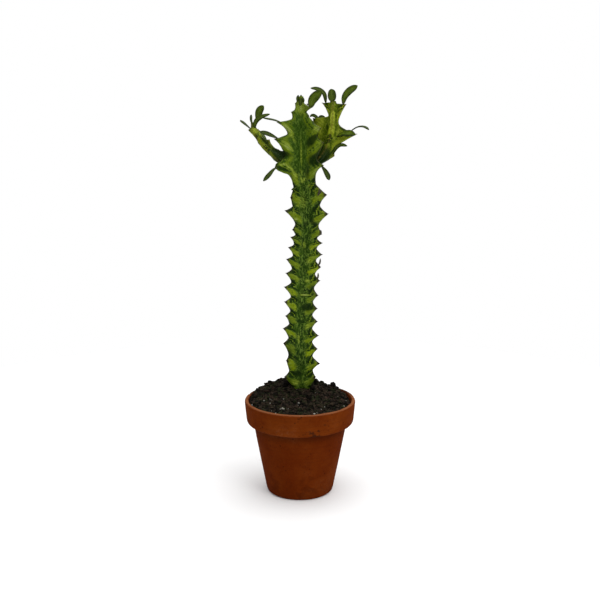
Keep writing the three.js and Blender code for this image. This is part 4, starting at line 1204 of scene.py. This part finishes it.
# each leaf: width in mm, where it is widest (over one: towards the tip), tone from 0, fresh green, to 1,
# dark grey-green, the way the blade looks, its line in mm from root to tip, and what else it has
leaves = {
    "stemLeaves": [
        (3.3, 1.6, 0.85, (0.5, -0.8, 0.4),
         [(-16.2, -0.8, 247.4), (-19.2, -1.5, 245.6), (-21.9, -2.6, 242.5), (-26.7, -4, 237.2)]),
        (3.8, 1.2, 0.95, (0.2, -0.8, 0.6),
         [(-15.9, 0, 267.7), (-19.6, 0.3, 269.4), (-24.6, 1, 271.4), (-29.2, 2, 272.8)]),
        (2.4, 1.2, 0.9, (0.05, -0.6, 1),
         [(-13.4, 1, 279), (-18.2, 0.8, 280.6), (-22.7, 0.4, 281.5), (-26.5, 0, 282.2)]),
        (3.8, 1.6, 0.95, (-0.3, -0.9, 0),
         [(15.4, -8.2, 248.4), (18.3, -10, 244.5), (20, -11.5, 241.5), (20.9, -13, 238.4)], {"blunt": 0.5}),
        (6.8, 1.1, 0.3, (0.1, -1, 0.1),
         [(7.7, -2.9, 289.2), (8.6, -4.5, 294.1), (11.4, -6, 297.5), (15.4, -8, 300.6)], {"blunt": 0.6}),
        (1.6, 1.2, 0.8, (0, -1, 0), [(-2.2, 0.7, 232.9), (-4.4, -0.8, 231.8), (-6.3, -2.2, 230.8)]),
        (4.2, 1.4, 0.6, (0.2, -0.3, 1), [(5.6, 22.7, 252.2), (6.6, 28.5, 255), (9.6, 33.3, 255.3)]),
        (4.4, 1.4, 0.5, (0.7, -0.4, 0.5), [(4.2, 19.8, 267.5), (3.6, 26.5, 273), (4.2, 30.8, 275.5)]),
        (2.2, 1.5, 0.75, (-0.3, -1, 0), [(-0.6, 3, 292.4), (-1.7, 2.2, 294.8), (-1.3, 1.6, 298.4)]),
        (1.9, 1.3, 0.7, (0.5, -1, 0), [(1, 3, 291.6), (2.3, 2, 293.8), (2.5, 1.8, 296.6)]),
        (2, 1.3, 0.6, (0, -1, 0.3), [(0.4, 4.6, 293.6), (0.6, 6.2, 296.6), (0.8, 7, 298.9)]),
        (2.8, 1.3, 0.85, (0.1, -1, 0.2), [(0.3, 2.6, 290.2), (0.4, 0.8, 293.4), (0.9, 0.4, 296.4)]),
    ],
    "leftArmLeaves": [
        (2.6, 1.4, 1, (0.2, -0.6, 1),
         [(-36.2, 11.4, 274.7), (-38.6, 13, 276.6), (-41.3, 16, 278.7), (-44.6, 21, 281.1)]),
        (2.6, 1.4, 0.8, (0.7, -0.7, 0.1), [(-34.4, 10, 276.8), (-36, 12, 281), (-35.9, 15, 285.1)]),
        (5.6, 1.1, 0.35, (0.15, -1, 0.1),
         [(-31.6, 9.2, 281.6), (-30.6, 9.4, 284.6), (-29.4, 9, 287.8), (-26.4, 8, 291.2)], {"blunt": 0.6}),
        (1.2, 1, 0.6, (0.15, -1, 0.1), [(-33.4, 9.2, 276), (-32.6, 9.2, 279), (-31.4, 9.2, 282.6)]),
        (4, 1, 0.6, (0.3, -0.8, 0.5),
         [(-33.1, 8.6, 274.6), (-32.4, 7.5, 279.5), (-29, 5.5, 282.5), (-21.6, 2, 285.1)]),
        (3.6, 1.4, 0.5, (0.5, -0.3, 0.8), [(-23, 8.6, 262.2), (-27.5, 16, 270), (-33, 21, 275)]),
    ],
    "rightArmLeaves": [
        (3.8, 1, 0.8, (0.2, -0.8, 0.6),
         [(18.6, -0.6, 292.6), (17.1, -0.5, 299.3), (12.6, -0.3, 302.4), (7.4, 0, 303.1)]),
        (6.2, 0.95, 0.55, (0.05, -1, 0.1),
         [(23.6, -4.4, 293.6), (22.8, -4.6, 296.4), (22.5, -5.4, 299.4), (22, -6, 302.2)], {"blunt": 0.45}),
        (1.7, 1, 0.7, (0, -1, 0), [(23.9, -3.6, 290.8), (23.8, -4.2, 292.6), (23.6, -4.4, 294.4)]),
        (5.4, 1.25, 0.35, (-0.1, -1, 0.2),
         [(30.7, -6.3, 291.6), (31.6, -7, 296.5), (34.6, -7.8, 300.4), (40.6, -9, 304.3)], {"blunt": 0.55}),
        (4, 1.2, 0.9, (0.1, -0.5, 0.9),
         [(34.6, -6.3, 271.5), (40.1, -13, 275.4), (44.4, -20, 275.6), (47.6, -28, 273.4)]),
        (5.4, 1.5, 0, (-0.2, -0.85, 0.5),
         [(26.4, -4.2, 269.2), (30.6, -9, 270.9), (34.9, -12, 271.3), (39.4, -13, 270.2)],
         {"shadedHalf": 0.75}),
        (3.6, 1.3, 0.6, (-0.2, -0.8, 0.7),
         [(23.6, -2.6, 256.4), (26, -4, 260.8), (29.1, -5.5, 263), (33.9, -8, 262.4)]),
        (2.6, 1.2, 0.75, (0.1, -0.9, 0.3),
         [(14.6, 4.6, 279.8), (11.6, 4.4, 283.2), (8.8, 4.2, 284.3), (7.2, 4, 283)]),
        (2.2, 1.2, 0.8, (0.1, -0.9, 0.3),
         [(18.9, 4, 279.8), (17.2, 4.5, 282.8), (14.9, 5, 283.4), (13.1, 5, 282.4)]),
        (4.4, 1.4, 0.5, (0.2, -0.3, 1), [(24, 4, 275.8), (25.8, 11.5, 282), (26.5, 17.3, 284.5)]),
    ],
    "dryStubs": [
        (1.3, 1, 1, (0, -1, 0), [(14, 0.3, 197.8), (15.4, -0.4, 199.2), (15.3, -0.6, 201.6)]),
        (1.4, 1, 1, (0, -1, 0), [(12.9, 0.5, 174), (14.7, 0, 177), (15.1, -0.2, 180.4)]),
        (1.4, 1, 1, (0, -1, 0), [(12, 1.3, 163.4), (13.4, 0.8, 166.2), (13.5, 0.6, 169.4)]),
        (2.4, 1, 1, (0, -1, 0), [(12.8, -3, 226.8), (14.4, -4.2, 229.4), (13.9, -4.4, 232.2)]),
        (1.3, 1, 1, (0, -1, 0), [(8, -2.4, 289.6), (6.4, -2.8, 291.4), (4.6, -3.2, 291.8)]),
    ],
}


def makeBladeMaster():
    pickOnly()
    bpy.ops.mesh.primitive_grid_add(x_subdivisions=6, y_subdivisions=14, size=2)
    blade = nameIt(bpy.context.active_object, "bladeMaster")
    flat = pointsOf(blade)
    paint(blade, "bladeAcross", np.abs(flat[:, 0]))
    paint(blade, "bladeAlong", (flat[:, 1] + 1) / 2)
    return blade


def lineAt(points, shares):
    line, length = axisLine(points, 24)
    run = np.asarray(shares) * length[-1]
    place = np.stack([np.interp(run, length, line[:, k]) for k in range(3)], axis=-1)
    tangent = np.gradient(line, length, axis=0)
    ahead = np.stack([np.interp(run, length, tangent[:, k]) for k in range(3)], axis=-1)
    return place, ahead / np.linalg.norm(ahead, axis=-1, keepdims=True)


def layLeaf(master, leaf, name):
    width, full, tone, face, line, *more = leaf
    shape = {**leafShape, **(more[0] if more else {})}
    blade = copyMesh(master, name)
    flat = pointsOf(blade)
    across, share = flat[:, 0], (flat[:, 1] + 1) / 2
    centre, ahead = lineAt(line, share)
    side = np.cross(ahead, np.array(face, float))
    side /= np.linalg.norm(side, axis=1, keepdims=True)
    up = np.cross(side, ahead)
    swell = shape["neck"] + (1 - shape["neck"]) * np.sin(math.pi * share ** full) ** shape["blunt"]
    toTip = np.clip((share - shape["tip"]) / (1 - shape["tip"]), 0, 1)
    rounded = np.sqrt(np.clip(1 - toTip ** 2, 0.03, 1))
    half = 0.5 * width * np.maximum(swell, 0.12) * np.where(share > shape["tip"], rounded, 1)
    lift = shape["fold"] * half * (np.abs(across) ** 1.6 - 0.3)
    lift += shape["twist"] * width * np.sin(5 * share + width) * across
    placePoints(blade, (centre + side * (across * half)[:, None] + up * lift[:, None]) * mm)
    paint(blade, "leafTone", np.full(len(flat), tone))
    # painted shade on one half of the blade
    paint(blade, "shadedHalf", np.clip(across * shape["shadedHalf"], 0, 1))
    thick = shape["thick"] * mm * min(1, width / shape["thinUnder"])
    applyModifier(blade, "SOLIDIFY", thickness=thick, offset=0)
    applyModifier(blade, "SUBSURF", levels=1, render_levels=1)
    return blade


leafLook, tree, shader = startMaterial("leafGreen", 0.55, 0.05)
place = objectPlace(tree)
across, share, tone, shadedHalf = (readAttribute(tree, name) for name in
                                 ("bladeAcross", "bladeAlong", "leafTone", "shadedHalf"))
cloud = grain(tree, place, 330, 3, 0.6)
fine = grain(tree, place, 1500, 2, 0.5)
colour = blend(tree, fit(tree, cloud, 0.4, 0.66, 0, 0.7), tint(90, 110, 16), tint(46, 66, 8))
colour = blend(tree, times(tree, tone, 0.8), colour, tint(42, 50, 30))
colour = blend(tree, fit(tree, across, 0.0, 0.16, 0.45, 0), colour, tint(104, 122, 54))
# side veins run from the middle out and towards the tip
slanted = maths(tree, "MULTIPLY_ADD", share, 14.0, across)
veins = addNode(tree, "CombineXYZ", {0: times(tree, across, 2.0), 1: slanted, 2: 0.0}).outputs[0]
veinMark = fit(tree, grain(tree, veins, 1.6, 1), 0.5, 0.62, 0, 0.25)
colour = blend(tree, veinMark, colour, tint(86, 106, 44))
colour = blend(tree, fit(tree, across, 0.5, 1.0, 0, 0.75), colour, tint(32, 42, 12))
# painted shade on one half of each blade
colour = blend(tree, fit(tree, shadedHalf, 0.0, 0.6, 0, 0.85), colour, tint(30, 42, 12))
colour = blend(tree, fit(tree, share, 0.2, 0.0, 0, 0.7), colour, tint(42, 44, 22))
tree.links.new(colour, shader.inputs["Base Color"])
addBump(tree, shader, maths(tree, "ADD", fine, times(tree, veinMark, 2)), 0.25, 0.0003)

stubLook, tree, shader = startMaterial("dryStub", 0.8, 0.2)
stubGrain = grain(tree, objectPlace(tree), 1200, 3)
stubColour = blend(tree, stubGrain, tint(40, 38, 26), tint(78, 74, 54))
tree.links.new(stubColour, shader.inputs["Base Color"])

bladeMaster = makeBladeMaster()
for group, rows in leaves.items():
    laid = [layLeaf(bladeMaster, leaf, f"{group}{i}") for i, leaf in enumerate(rows)]
    joined = joinAll(laid, group)
    bpy.ops.object.shade_smooth()
    joined.data.materials.clear()
    joined.data.materials.append(stubLook if group == "dryStubs" else leafLook)
    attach(joined, "root")
bpy.data.objects.remove(bladeMaster)
print("leaves laid")
